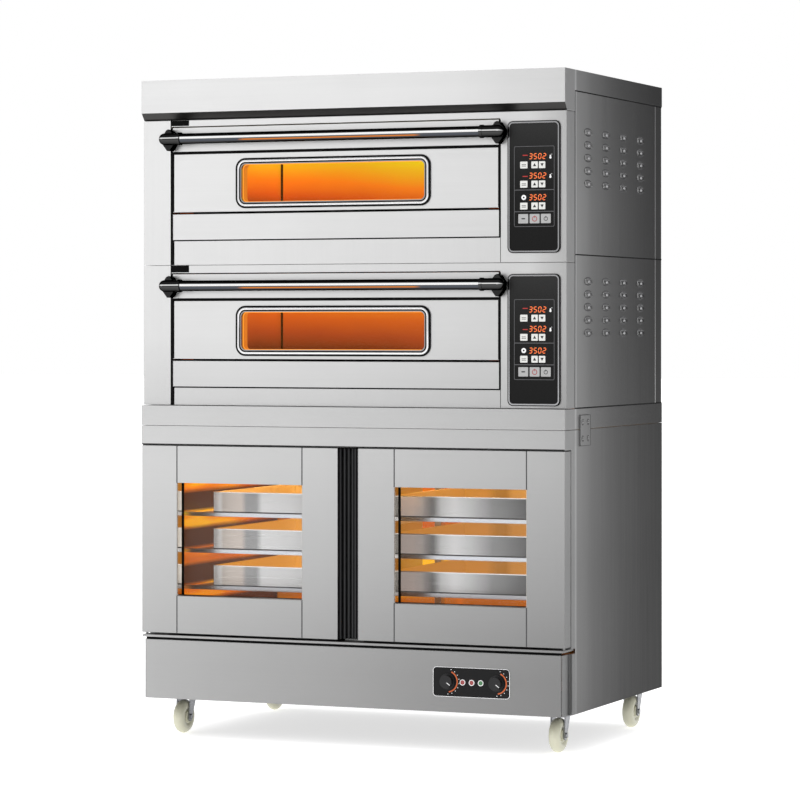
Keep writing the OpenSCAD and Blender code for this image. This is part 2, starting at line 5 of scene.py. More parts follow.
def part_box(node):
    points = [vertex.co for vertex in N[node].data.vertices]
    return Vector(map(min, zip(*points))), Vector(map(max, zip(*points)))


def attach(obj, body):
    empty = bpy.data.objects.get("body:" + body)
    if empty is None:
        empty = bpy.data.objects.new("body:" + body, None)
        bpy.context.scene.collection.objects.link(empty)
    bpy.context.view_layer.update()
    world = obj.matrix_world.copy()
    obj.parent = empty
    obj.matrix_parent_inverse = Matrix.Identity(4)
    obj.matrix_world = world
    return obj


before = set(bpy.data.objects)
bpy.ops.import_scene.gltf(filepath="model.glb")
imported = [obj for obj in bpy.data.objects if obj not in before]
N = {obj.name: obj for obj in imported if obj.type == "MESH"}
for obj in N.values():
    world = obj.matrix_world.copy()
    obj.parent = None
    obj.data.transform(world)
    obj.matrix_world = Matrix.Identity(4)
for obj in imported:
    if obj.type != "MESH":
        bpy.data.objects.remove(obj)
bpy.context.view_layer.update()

MM = 0.001
scene = bpy.context.scene

# ------------------------------------------------------------------ camera
cam_data = bpy.data.cameras.new("camera")
cam = bpy.data.objects.new("camera", cam_data)
scene.collection.objects.link(cam)
cam.location = (3.533, -8.4246, 1.119)
cam.rotation_euler = (math.radians(90), 0, math.radians(22.8))
cam_data.sensor_width = 36
cam_data.lens = 148.5
cam_data.shift_y = -0.0906
cam_data.clip_end = 200
scene.camera = cam
scene.view_settings.view_transform = "Standard"


# ------------------------------------------------------------------ node helpers
class Mat:
    """A node material with a few short calls for its procedural parts."""

    def __init__(self, name):
        self.m = bpy.data.materials.new(name)
        self.m.use_nodes = True
        self.t = self.m.node_tree
        self.t.nodes.clear()
        self.out = self.t.nodes.new("ShaderNodeOutputMaterial")
        self.p = self.t.nodes.new("ShaderNodeBsdfPrincipled")
        self.link(self.p.outputs[0], self.out.inputs[0])
        self._co = None

    def node(self, kind, **kw):
        n = self.t.nodes.new(kind)
        for k, v in kw.items():
            setattr(n, k, v)
        return n

    def link(self, a, b):
        self.t.links.new(a, b)

    def co(self):
        if self._co is None:
            self._co = self.node("ShaderNodeTexCoord").outputs["Object"]
        return self._co

    def mapped(self, scale, loc=(0, 0, 0)):
        n = self.node("ShaderNodeMapping")
        n.inputs["Scale"].default_value = scale
        n.inputs["Location"].default_value = loc
        self.link(self.co(), n.inputs["Vector"])
        return n.outputs[0]

    def noise(self, scale, stretch=(1, 1, 1), detail=4.0, rough=0.5, loc=(0, 0, 0)):
        n = self.node("ShaderNodeTexNoise")
        n.inputs["Scale"].default_value = scale
        n.inputs["Detail"].default_value = detail
        n.inputs["Roughness"].default_value = rough
        self.link(self.mapped(stretch, loc), n.inputs["Vector"])
        return n.outputs["Fac"]

    def rng(self, fac, lo, hi, a=0.0, b=1.0):
        n = self.node("ShaderNodeMapRange")
        n.inputs["From Min"].default_value = a
        n.inputs["From Max"].default_value = b
        n.inputs["To Min"].default_value = lo
        n.inputs["To Max"].default_value = hi
        self.link(fac, n.inputs["Value"])
        return n.outputs[0]

    def math(self, op, a, b=None):
        n = self.node("ShaderNodeMath", operation=op)
        for i, v in enumerate((a, b)):
            if v is None:
                continue
            if isinstance(v, (int, float)):
                n.inputs[i].default_value = v
            else:
                self.link(v, n.inputs[i])
        return n.outputs[0]

    def ramp(self, fac, stops, interp="LINEAR"):
        n = self.node("ShaderNodeValToRGB")
        n.color_ramp.interpolation = interp
        e = n.color_ramp.elements
        while len(e) > 1:
            e.remove(e[-1])
        for i, (pos, col) in enumerate(stops):
            el = e[0] if i == 0 else e.new(pos)
            el.position = pos
            el.color = tuple(col) + (1,) if len(col) == 3 else col
        self.link(fac, n.inputs[0])
        return n.outputs[0]

    def mix(self, fac, a, b, blend="MIX"):
        n = self.node("ShaderNodeMix", data_type="RGBA", blend_type=blend)
        for i, v in ((0, fac), (6, a), (7, b)):
            if isinstance(v, (int, float)):
                n.inputs[i].default_value = v
            elif isinstance(v, (tuple, list)):
                n.inputs[i].default_value = tuple(v) + (1,) if len(v) == 3 else v
            else:
                self.link(v, n.inputs[i])
        return n.outputs[2]

    def xyz(self, vec=None):
        n = self.node("ShaderNodeSeparateXYZ")
        self.link(vec if vec is not None else self.co(), n.inputs[0])
        return n.outputs

    def bump(self, height, strength, dist, normal=None):
        n = self.node("ShaderNodeBump")
        n.inputs["Strength"].default_value = strength
        n.inputs["Distance"].default_value = dist
        self.link(height, n.inputs["Height"])
        if normal is not None:
            self.link(normal, n.inputs["Normal"])
        return n.outputs[0]

    def bevel(self, radius, samples=3):
        n = self.node("ShaderNodeBevel", samples=samples)
        n.inputs["Radius"].default_value = radius
        return n.outputs[0]

    def set(self, name, v):
        i = self.p.inputs[name]
        if isinstance(v, (int, float)):
            i.default_value = v
        elif isinstance(v, (tuple, list)):
            i.default_value = tuple(v) + (1,) if len(v) == 3 else v
        else:
            self.link(v, i)
        return self


def lin(v):
    """Display level 0..255 to linear light."""
    c = v / 255.0
    return ((c + 0.055) / 1.055) ** 2.4 if c > 0.04045 else c / 12.92


def levels(stops, k):
    return [(t, (lin(v) * k,) * 3) for t, v in stops]


# how much light each facing gets, so that a level comes out as written
K_FRONT, K_SIDE = 1.0, 1.75


def painted_light_tone(m, right_dip=False, chin=0.045):
    """Painted light and shade that vary over the cabinet: fronts fall to the lower right, sides to the back."""
    x, y, z = m.xyz()[0:3]
    nv = m.xyz(m.node("ShaderNodeTexCoord").outputs["Normal"])
    tx = m.rng(x, 0.0, 1.0, -0.615, 0.615)
    top = m.ramp(tx, levels([(0, 235), (0.14, 233), (0.28, 231), (0.42, 229), (0.56, 227), (0.70, 224), (0.84, 219), (0.94, 214), (1, 210)], K_FRONT))
    bot = m.ramp(tx, levels([(0, 187), (0.04, 184), (0.25, 175), (0.49, 165), (0.655, 156), (0.915, 144), (1, 140)], K_FRONT))
    g = m.ramp(m.math("DIVIDE", z, 1.8), [(a / 1.8, (b, b, b)) for a, b in
               ((0.20, 1.0), (0.31, 0.93), (0.38, 0.85), (0.52, 0.70), (0.65, 0.55), (0.79, 0.40), (0.92, 0.30), (1.25, 0.13), (1.5, 0.03), (1.74, 0.0))])
    front = m.mix(g, top, bot)
    # painted shade towards the right end of the fascia
    if right_dip:
        front = m.mix(1.0, front, m.ramp(tx, [(0.0, (1, 1, 1)), (0.915, (1, 1, 1)), (0.96, (0.86, 0.86, 0.86)), (1.0, (0.76, 0.76, 0.76))]), "MULTIPLY")
    # painted light and shade by height on the fronts
    front = m.mix(1.0, front, m.ramp(m.math("DIVIDE", z, 1.8), [(a / 1.8, (b, b, b)) for a, b in
                  ((0.25, 0.715), (0.5, 0.745), (0.75, 0.755), (0.9, 0.715), (1.1, 0.845), (1.45, 0.87), (1.74, 0.91))]), "MULTIPLY")
    # sides: painted shade by object Y from the front flanges to the back, with a painted highlight at the flange edge,
    # and painted light by height
    ty = m.rng(y, 0.0, 1.0, -0.3845, 0.4185)
    side = m.ramp(ty, levels([(0, 153), (0.095, 150), (0.108, 182), (0.118, 141), (0.20, 130), (0.26, 117), (0.36, 106), (0.46, 93), (0.56, 83), (0.77, 67), (0.92, 57), (1, 55)], K_SIDE))
    side = m.mix(1.0, side, m.ramp(m.math("DIVIDE", z, 1.8), [(a / 1.8, (b, b, b)) for a, b in
                 ((0.1, 0.37), (0.5, 0.425), (0.85, 0.59), (1.1, 0.69), (1.45, 0.94), (1.7, 0.95))]), "MULTIPLY")
    wx = m.rng(m.math("ABSOLUTE", nv[0]), 0.0, 1.0, 0.45, 0.65)
    col = m.mix(wx, front, side)
    col = m.mix(m.rng(nv[1], 0.0, 1.0, 0.45, 0.65), col, (0.42, 0.42, 0.425))
    col = m.mix(m.rng(nv[2], 0.0, 1.0, 0.45, 0.65), col, (0.62, 0.62, 0.625))
    # painted shade on faces that look down, such as the hood's chin
    col = m.mix(m.rng(nv[2], 1.0, 0.0, -0.65, -0.45), col, (chin, chin * 0.97, chin * 0.95))
    return col


def steel(name, base, grain, rough=0.30, vary=0.05, edge=0.0022, tone=None):
    """Brushed stainless. grain is the axis that the brush lines follow; tone paints light, shade and reflections into
    the base colour.
    """
    m = Mat(name)
    fine = {"X": (6, 500, 900), "Z": (900, 500, 6), "Y": (900, 6, 900)}[grain]
    wide = {"X": (1.2, 60, 120), "Z": (120, 60, 1.2), "Y": (120, 1.2, 120)}[grain]
    a = m.noise(1.0, fine, 3.0, 0.6)
    b = m.noise(1.0, wide, 2.0, 0.5, (3.1, 1.7, 5.3))
    c = m.noise(2.2, (1, 1, 1), 3.0, 0.55, (7.0, 2.0, 1.0))
    lines = m.math("ADD", m.math("MULTIPLY", a, 0.6), m.math("MULTIPLY", b, 0.4))
    v = m.rng(lines, 1.0 - vary, 1.0 + vary, 0.30, 0.70)
    v = m.math("MULTIPLY", v, m.rng(c, 0.985, 1.015, 0.35, 0.65))
    cn = m.node("ShaderNodeCombineColor")
    for i in range(3):
        m.link(m.math("MULTIPLY", v, base[i]), cn.inputs[i])
    col = cn.outputs[0]
    if tone is not None:
        col = m.mix(1.0, tone(m), col, "MULTIPLY")
        m.set("Specular Tint", (0.62, 0.62, 0.62))
    m.set("Base Color", col).set("Metallic", 1.0)
    m.set("Roughness", m.math("ADD", m.rng(lines, rough - 0.04, rough + 0.06, 0.3, 0.7), m.rng(c, -0.02, 0.02, 0.3, 0.7)))
    m.set("Normal", m.bump(lines, 0.04, 0.0003, m.bevel(edge) if edge else None))
    return m.m


def plastic(name, base, rough, grain=1200.0, bump=0.15, coat=0.0, spec=0.5):
    m = Mat(name)
    n = m.noise(grain, (1, 1, 1), 2.0, 0.5)
    big = m.noise(14.0, (1, 1, 1), 3.0, 0.5)
    dark = tuple(v * 0.9 for v in base)
    m.set("Base Color", m.mix(big, base, dark))
    m.set("Roughness", m.rng(big, rough - 0.04, rough + 0.05, 0.3, 0.7))
    m.set("Normal", m.bump(n, bump, 0.0002, m.bevel(0.0006)))
    m.set("Specular IOR Level", spec)
    if coat:
        m.set("Coat Weight", coat)
    return m.m


def glow(name, col, strength, base=(0.02, 0.0, 0.0)):
    m = Mat(name)
    n = m.noise(900.0, (1, 1, 1), 1.0)
    m.set("Base Color", base).set("Roughness", 0.5)
    c2 = tuple(min(1.0, v * 1.25 + 0.02) for v in col)
    m.set("Emission Color", m.mix(n, col, c2)).set("Emission Strength", strength)
    return m.m


# ------------------------------------------------------------------ materials
TINT = (1.0, 1.0, 1.0)
# the cabinet steels carry painted light and shade in their base colour
FRONT = steel("front_steel", TINT, "X", 0.34, 0.02, tone=painted_light_tone)
HOOD = steel("hood_steel", TINT, "X", 0.34, 0.02, tone=lambda m: painted_light_tone(m, False, 0.045))
FRAME = steel("fascia_steel", TINT, "Z", 0.34, 0.015, tone=lambda m: painted_light_tone(m, True))
SIDE = steel("side_steel", TINT, "Z", 0.36, 0.03, tone=painted_light_tone)


def painted_tray_reflections(m):
    """Bright pressed trays with painted reflections: a warm patch and a dark band near the left end, then falling to
    the right.
    """
    x = m.xyz()[0]
    t = m.rng(x, 0.0, 1.0, -0.46, 0.46)
    P = lambda mm: (mm + 460) / 920.0
    st = [(-452, (1, 1, 1)), (-445, (0.96, 0.96, 0.96)), (-436, (0.64, 0.58, 0.53)), (-380, (0.66, 0.58, 0.53)), (-365, (0.36, 0.36, 0.36)),
          (-335, (0.36, 0.36, 0.36)), (-318, (0.74, 0.74, 0.74)), (-230, (0.66, 0.66, 0.66)), (-150, (0.50, 0.50, 0.50)), (-48, (0.3, 0.3, 0.3)),
          (48, (0.8, 0.8, 0.8)), (60, (0.60, 0.54, 0.50)), (130, (0.62, 0.55, 0.51)), (165, (0.28, 0.28, 0.28)), (190, (0.27, 0.27, 0.27)),
          (212, (0.60, 0.60, 0.60)), (250, (0.72, 0.72, 0.72)), (300, (0.54, 0.54, 0.54)), (360, (0.28, 0.28, 0.28)), (450, (0.15, 0.15, 0.15))]
    return m.ramp(t, [(P(a), c) for a, c in st])


TRAY = steel("tray_steel", (0.85, 0.85, 0.85), "X", 0.30, 0.02, edge=0.0012, tone=painted_tray_reflections)


def warm_inside(mat, y0):
    """The trays' walls behind their front face take the warm light of the lamps."""
    t = mat.node_tree
    p = next(n for n in t.nodes if n.type == "BSDF_PRINCIPLED")
    co = t.nodes.new("ShaderNodeTexCoord")
    sx = t.nodes.new("ShaderNodeSeparateXYZ")
    mr_ = t.nodes.new("ShaderNodeMapRange")
    mr_.inputs["From Min"].default_value = y0 + 0.0012
    mr_.inputs["From Max"].default_value = y0 + 0.004
    mx_ = t.nodes.new("ShaderNodeMix")
    mx_.data_type = "RGBA"
    t.links.new(co.outputs["Object"], sx.inputs[0])
    t.links.new(sx.outputs[1], mr_.inputs["Value"])
    t.links.new(mr_.outputs[0], mx_.inputs[0])
    # soft light on the left end of the right-hand trays
    mf = t.nodes.new("ShaderNodeMapRange")
    mf.inputs["From Min"].default_value = -0.46
    mf.inputs["From Max"].default_value = 0.46
    rf = t.nodes.new("ShaderNodeValToRGB")
    el_ = rf.color_ramp.elements
    el_[0].position, el_[0].color = 0.56, (0, 0, 0, 1)
    el_[1].position, el_[1].color = 0.575, (0.32, 0.285, 0.265, 1)
    for pos_, c_ in ((0.67, (0.28, 0.25, 0.235, 1)), (0.70, (0, 0, 0, 1))):
        e_ = rf.color_ramp.elements.new(pos_)
        e_.color = c_
    t.links.new(sx.outputs[0], mf.inputs["Value"])
    t.links.new(mf.outputs[0], rf.inputs[0])
    t.links.new(rf.outputs[0], mx_.inputs[6])
    mx_.inputs[7].default_value = (0.36, 0.135, 0.004, 1)
    t.links.new(mx_.outputs[2], p.inputs["Emission Color"])
    p.inputs["Emission Strength"].default_value = 0.9


warm_inside(TRAY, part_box("dough_trays")[0].y)
RIM = steel("tray_rim_steel", (0.80, 0.80, 0.80), "X", 0.25, 0.02, edge=0)
RACK = steel("rack_steel", (0.62, 0.64, 0.68), "X", 0.28, 0.04)
# bright steel for the painted highlights on the side panels' edges
EDGE_HIGHLIGHT = steel("edge_highlight_steel", (0.36, 0.36, 0.36), "Z", 0.3, 0.02, edge=0)
DARKSTEEL = steel("seam_dark", (0.03, 0.03, 0.032), "X", 0.5, 0.02, edge=0)


def chrome(name, base, rough, ramp=None, painted_warm_streak=None):
    """Polished metal. ramp paints reflection bands and highlights into the base colour by the angle round the X axis,
    0.5 facing the front and 0.75 up; painted_warm_streak adds a painted warm reflection line on it, as (angle from,
    angle to, x from, x to)."""
    m = Mat(name)
    n = m.noise(6.0, (1, 8, 8), 3.0)
    if ramp:
        nrm = m.xyz(m.node("ShaderNodeTexCoord").outputs["Normal"])
        ang = m.math("ARCTAN2", nrm[2], m.math("MULTIPLY", nrm[1], -1.0))
        t = m.rng(ang, 0.0, 1.0, -math.pi, math.pi)
        col = m.ramp(t, [(a, c if isinstance(c, tuple) else (c, c, c)) for a, c in ramp])
        if painted_warm_streak:
            a0, a1, x0, x1 = painted_warm_streak
            x = m.xyz()[0]
            on = m.math("MULTIPLY", m.math("MULTIPLY", m.rng(t, 0.0, 1.0, a0, a0 + 0.012), m.rng(t, 1.0, 0.0, a1 - 0.012, a1)),
                        m.math("MULTIPLY", m.rng(x, 0.0, 1.0, x0, x0 + 0.02), m.rng(x, 1.0, 0.0, x1 - 0.02, x1)))
            col = m.mix(on, col, (0.42, 0.13, 0.02))
        m.set("Base Color", col).set("Specular Tint", (0.3, 0.3, 0.3))
    else:
        m.set("Base Color", m.mix(n, base, tuple(v * 0.94 for v in base)))
    m.set("Metallic", 1.0).set("Roughness", m.rng(n, rough * 0.7, rough * 1.4, 0.3, 0.7))
    m.set("Normal", m.bump(n, 0.02, 0.0003, m.bevel(0.0008)))
    return m.m


CHROME = chrome("polished_chrome", (0.88, 0.88, 0.89), 0.08)
# a darker copy of the chrome, painted shade for the bezels and window bezels
CHROME_DIM = chrome("polished_chrome_dim", (0.34, 0.34, 0.35), 0.10)
# near black with one painted highlight band, for the handle brackets
DARKCHROME = chrome("dark_chrome", (0.16, 0.16, 0.165), 0.12, ramp=[
    (0.0, 0.01), (0.25, 0.012), (0.40, 0.03), (0.47, 0.05), (0.49, 0.02), (0.502, 0.03), (0.507, 0.75), (0.530, 0.75), (0.542, 0.01), (0.75, 0.004), (0.9, 0.01)])
# painted reflection bands round the handle bar: a black band on top, a painted highlight under it, a dark body and a
# painted warm reflection line
BAR = chrome("bar_chrome", (0.8, 0.8, 0.8), 0.10, ramp=[
    (0.0, 0.06), (0.25, 0.02), (0.30, 0.025), (0.385, 0.04), (0.40, (0.045, 0.048, 0.056)), (0.455, (0.062, 0.067, 0.08)), (0.48, 0.045),
    (0.488, 0.35), (0.496, 0.95), (0.545, 0.95), (0.553, 0.25), (0.562, 0.004), (0.735, 0.004), (0.742, 0.02), (0.752, 0.25), (0.77, 0.6)],
    painted_warm_streak=(0.405, 0.458, -0.31, 0.225))
PANEL = plastic("panel_film", (0.004, 0.004, 0.0045), 0.28, 1500.0, 0.04, 0.0, 0.16)


def panel_film(w):
    """Black film with a painted sheen, a little lighter towards its top."""
    m = Mat("panel_film_" + w)
    lo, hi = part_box("overlay_" + w)
    n = m.noise(1500.0, (1, 1, 1), 2.0, 0.5)
    g = m.rng(m.xyz()[2], 0.0, 1.0, lo.z, hi.z)
    m.set("Base Color", m.ramp(g, [(0.0, (0.0015,) * 3), (0.5, (0.004,) * 3), (0.8, (0.010,) * 3), (1.0, (0.018,) * 3)]))
    m.set("Roughness", m.rng(n, 0.25, 0.32, 0.3, 0.7)).set("Specular IOR Level", 0.16)
    m.set("Normal", m.bump(n, 0.04, 0.0002, m.bevel(0.0006)))
    return m.m


BLACK = plastic("black_plastic", (0.008, 0.008, 0.009), 0.38, 900.0, 0.25, 0.0, 0.3)
# black rubber for seals and gaskets, also used for dark strips that paint the shade in gaps, grooves and slots
RUBBER_AND_SHADE = plastic("black_rubber_and_shade", (0.002, 0.002, 0.002), 0.6, 700.0, 0.3, 0.0, 0.06)
NYLON = plastic("cream_nylon", (0.64, 0.63, 0.49), 0.32, 500.0, 0.10, 0.2)
WHITEP = plastic("key_white", (0.62, 0.62, 0.60), 0.45, 900.0, 0.1)
GREYP = plastic("key_grey", (0.34, 0.34, 0.34), 0.45, 900.0, 0.1)
LINEP = plastic("print_grey", (0.085, 0.085, 0.09), 0.5, 900.0, 0.05)
PRINTW = plastic("print_white", (0.78, 0.78, 0.78), 0.5, 900.0, 0.05)
ORANGE = plastic("print_orange", (0.55, 0.10, 0.015), 0.45, 900.0, 0.05)
ZINC = chrome("zinc_plate", (0.28, 0.285, 0.30), 0.30)
RED_GLOW = glow("digit_red", (0.85, 0.020, 0.008), 1.25)
CORE_GLOW = glow("digit_core", (1.0, 0.42, 0.06), 1.1)
RED_DIM = glow("bar_red", (0.7, 0.02, 0.01), 0.6)
IRON = plastic("hearth_iron", (0.16, 0.10, 0.06), 0.6, 300.0, 0.5)


def chamber_mat(name, zc, stops, k, x0, x1):
    """Chamber walls lit by painted lamp light: an emission whose brightness falls from the roof elements to the hearth
    and rises to the right.
    """
    m = Mat(name)
    x, y, z = m.xyz()[0:3]
    g = m.rng(z, 0.0, 1.0, zc - 0.075, zc + 0.085)
    side = m.rng(x, -0.16, 0.10, x0, x1)
    n = m.noise(3.0, (1, 1, 2), 3.0)
    t = m.math("ADD", m.math("ADD", g, side), m.rng(n, -0.06, 0.06, 0.3, 0.7))
    col = m.ramp(t, stops)
    m.set("Base Color", m.mix(0.5, col, (0.12, 0.05, 0.02)))
    m.set("Metallic", 0.6).set("Roughness", 0.4)
    m.set("Emission Color", col).set("Emission Strength", k)
    m.set("Normal", m.bump(n, 0.1, 0.001))
    return m.m


bright_glow = [(0.0, (0.16, 0.030, 0.008)), (0.25, (0.62, 0.085, 0.008)), (0.52, (0.86, 0.20, 0.008)),
       (0.78, (0.80, 0.42, 0.010)), (1.0, (0.82, 0.66, 0.012))]
dull = [(0.0, (0.10, 0.020, 0.006)), (0.30, (0.30, 0.045, 0.010)), (0.60, (0.50, 0.090, 0.008)),
        (0.85, (0.70, 0.19, 0.010)), (1.0, (0.72, 0.25, 0.010))]
for w, stops, k in (("upper", bright_glow, 0.95), ("lower", dull, 1.12)):
    lo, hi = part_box("window_bezel_" + w)
    CH = chamber_mat("chamber_" + w, (lo.z + hi.z) / 2, stops, k, -0.48, 0.30)
    N["chamber_" + w].data.materials.clear()
    N["chamber_" + w].data.materials.append(CH)


def liner_mat():
    # painted glow of the proofer lamps (emission), with painted yellow highlight streaks
    m = Mat("liner_glow")
    x, y, z = m.xyz()[0:3]
    n = m.noise(3.0, (1, 1.5, 1.0), 2.0)
    painted_warm_streak = m.noise(1.0, (1.2, 3, 26), 1.0)
    t = m.math("ADD", m.rng(painted_warm_streak, 0.1, 0.9, 0.36, 0.64), m.rng(n, -0.12, 0.12, 0.3, 0.7))
    col = m.ramp(t, [(0.0, (0.52, 0.135, 0.003)), (0.40, (0.68, 0.205, 0.003)), (0.72, (0.82, 0.36, 0.003)), (1.0, (0.95, 0.66, 0.004))])
    # painted shade beside the side walls, in bands between the trays
    wall = m.rng(m.math("ABSOLUTE", x), 0.0, 1.0, 0.545, 0.550)
    band = m.rng(m.math("ABSOLUTE", m.math("SUBTRACT", m.math("FRACT", m.math("DIVIDE", m.math("SUBTRACT", z, 0.405), 0.101)), 0.30)), 1.0, 0.0, 0.22, 0.34)
    col = m.mix(m.math("MULTIPLY", m.math("MULTIPLY", wall, band), 0.97), col, (0.040, 0.012, 0.004))
    m.set("Base Color", col).set("Metallic", 1.0).set("Roughness", 0.22)
    m.set("Emission Color", col).set("Emission Strength", 0.55)
    return m.m


def glass(name, tint, alpha):
    """Thin toughened pane: mostly clear, glossy."""
    m = Mat(name)
    n = m.noise(2.5, (1, 1, 1), 2.0)
    tr = m.node("ShaderNodeBsdfTransparent")
    tr.inputs[0].default_value = tuple(tint) + (1,)
    gl = m.p
    m.set("Base Color", m.mix(n, tint, tuple(v * 0.8 for v in tint)))
    m.set("Roughness", 0.04).set("Alpha", alpha).set("Specular IOR Level", 0.12)
    return m.m


GLASS_O = glass("oven_glass", (0.30, 0.10, 0.02), 0.10)
GLASS_P = glass("proofer_glass", (0.25, 0.25, 0.25), 0.07)
LINER = liner_mat()
SHEATH = plastic("element_sheath", (0.10, 0.05, 0.03), 0.5, 500.0, 0.3)


def lamp_mat():
    m = Mat("lamp_lens")
    x = m.xyz()[0]
    lo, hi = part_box("indicator_lamps")
    c = m.ramp(m.rng(x, 0.0, 1.0, lo.x, hi.x), [(0.0, (0.16, 0.005, 0.005)), (0.66, (0.006, 0.09, 0.018))], "CONSTANT")
    m.set("Base Color", c).set("Roughness", 0.2).set("Emission Color", c).set("Emission Strength", 0.5)
    m.set("Coat Weight", 0.6)
    return m.m


def give(mat, *names):
    for n in names:
        o = N[n]
        o.data.materials.clear()
        o.data.materials.append(mat)


UL = ("upper", "lower")
give(HOOD, "hood")
give(FRAME, *["front_frame_" + w for w in UL])
give(FRONT, *["sill_" + w for w in UL], *["door_" + w for w in UL], "plinth", "proofer_frame", "proofer_door_left", "proofer_door_right", "base_front")
give(SIDE, "side_upper_left", "side_upper_right", "side_lower_left", "side_lower_right", "oven_back", "proofer_wrap", "base_pan", "joint_plates")
give(IRON, *["hearth_" + w for w in UL])
give(SHEATH, *["heaters_" + w for w in UL], "proofer_heater")
give(CHROME_DIM, *["bezel_" + w for w in UL], *["window_bezel_" + w for w in UL])
give(BAR, *["handle_bar_" + w for w in UL])
give(DARKCHROME, *["handle_brackets_" + w for w in UL])
give(PANEL, "knob_plate")
for w in UL:
    give(panel_film(w), "overlay_" + w)
give(LINER, "proofer_liner")
give(RACK, "tray_rack")
give(TRAY, "dough_trays")
give(ZINC, "caster_plates", *["fork_" + a + "_" + b for a in ("front", "rear") for b in ("left", "right")])
give(NYLON, *["wheel_" + a + "_" + b for a in ("front", "rear") for b in ("left", "right")])
give(BLACK, "cable_gland", "knob_temperature", "knob_humidity", "proofer_pull_left", "proofer_pull_right")
give(GLASS_O, *["door_glass_" + w for w in UL])
give(GLASS_P, "proofer_glass_left", "proofer_glass_right")
give(lamp_mat(), "indicator_lamps")


# ------------------------------------------------------------------ mesh helpers
def obj_from(name, bm, mat, body, bevel=0.0, smooth=None):
    me = bpy.data.meshes.new(name)
    bmesh.ops.recalc_face_normals(bm, faces=bm.faces)
    bm.to_mesh(me)
    bm.free()
    me.materials.append(mat)
    o = bpy.data.objects.new(name, me)
    scene.collection.objects.link(o)
    if bevel:
        b = o.modifiers.new("bevel", "BEVEL")
        b.width = bevel
        b.segments = 2
        b.limit_method = "ANGLE"
        b.angle_limit = math.radians(40)
    if smooth:
        for p in me.polygons:
            p.use_smooth = True
        me.set_sharp_from_angle(angle=math.radians(smooth))
    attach(o, body)
    return o


def rr(w, h, r, n=8):
    """Rounded rectangle outline round (0, 0) in the plane of the front."""
    pts = []
    for k, (sx, sz) in enumerate(((1, 1), (-1, 1), (-1, -1), (1, -1))):
        for i in range(n + 1):
            a = math.radians(90 * k + 90 * i / n)
            pts.append((sx * (w / 2 - r) + r * math.cos(a), sz * (h / 2 - r) + r * math.sin(a)))
    return pts


def prism(bm, pts, c, y0, y1):
    """Closed outline in (x, z), offset by c, pulled from y0 to y1."""
    f = [bm.verts.new((c[0] + p[0], y0, c[1] + p[1])) for p in pts]
    b = [bm.verts.new((c[0] + p[0], y1, c[1] + p[1])) for p in pts]
    n = len(pts)
    bm.faces.new(f)
    bm.faces.new(b[::-1])
    for i in range(n):
        j = (i + 1) % n
        bm.faces.new((f[j], f[i], b[i], b[j]))


def ring(bm, outer, inner, c, y0, y1):
    n = len(outer)
    L = []
    for pts, y in ((outer, y0), (inner, y0), (inner, y1), (outer, y1)):
        L.append([bm.verts.new((c[0] + p[0], y, c[1] + p[1])) for p in pts])
    for k in range(4):
        a, b = L[k], L[(k + 1) % 4]
        for i in range(n):
            j = (i + 1) % n
            bm.faces.new((a[i], a[j], b[j], b[i]))


def cube(bm, a, b):
    v = [bm.verts.new((x, y, z)) for x in (a[0], b[0]) for y in (a[1], b[1]) for z in (a[2], b[2])]
    for q in ((0, 1, 3, 2), (4, 6, 7, 5), (0, 4, 5, 1), (2, 3, 7, 6), (0, 2, 6, 4), (1, 5, 7, 3)):
        bm.faces.new([v[i] for i in q])


def disc_pts(r, n=32):
    return [(r * math.cos(2 * math.pi * i / n), r * math.sin(2 * math.pi * i / n)) for i in range(n)]


# ------------------------------------------------------------------ deck control panels
SEG = {"a": ((-1, 2), (1, 2)), "g": ((-1, 0), (1, 0)), "d": ((-1, -2), (1, -2)),
       "f": ((-1, 2), (-1, 0)), "b": ((1, 2), (1, 0)), "e": ((-1, 0), (-1, -2)), "c": ((1, 0), (1, -2))}
DIG = {"0": "abcdef", "1": "bc", "2": "abged", "3": "abgcd", "4": "fgbc", "5": "afgcd", "6": "afgedc", "7": "abc", "8": "abcdefg", "9": "abfgcd"}


def seven(bm, text, cx_, cz, w, h, pitch, t, y0, y1, slant=0.12):
    for i, ch in enumerate(text):
        x0 = cx_ + (i - (len(text) - 1) / 2) * pitch
        for s in DIG[ch]:
            (ax, az), (bx_, bz) = SEG[s]
            ax, bx_ = ax * w / 2, bx_ * w / 2
            az, bz = az * h / 4, bz * h / 4
            g = t * 0.30
            if az == bz:
                pts = [(ax + g, az), (ax + g + t / 2, az + t / 2), (bx_ - g - t / 2, az + t / 2), (bx_ - g, az), (bx_ - g - t / 2, az - t / 2), (ax + g + t / 2, az - t / 2)]
            else:
                pts = [(ax, az - g), (ax + t / 2, az - g - t / 2), (ax + t / 2, bz + g + t / 2), (ax, bz + g), (ax - t / 2, bz + g + t / 2), (ax - t / 2, az - g - t / 2)]
            pts = [(p[0] + slant * p[1], p[1]) for p in pts]
            prism(bm, pts, (x0, cz), y0, y1)


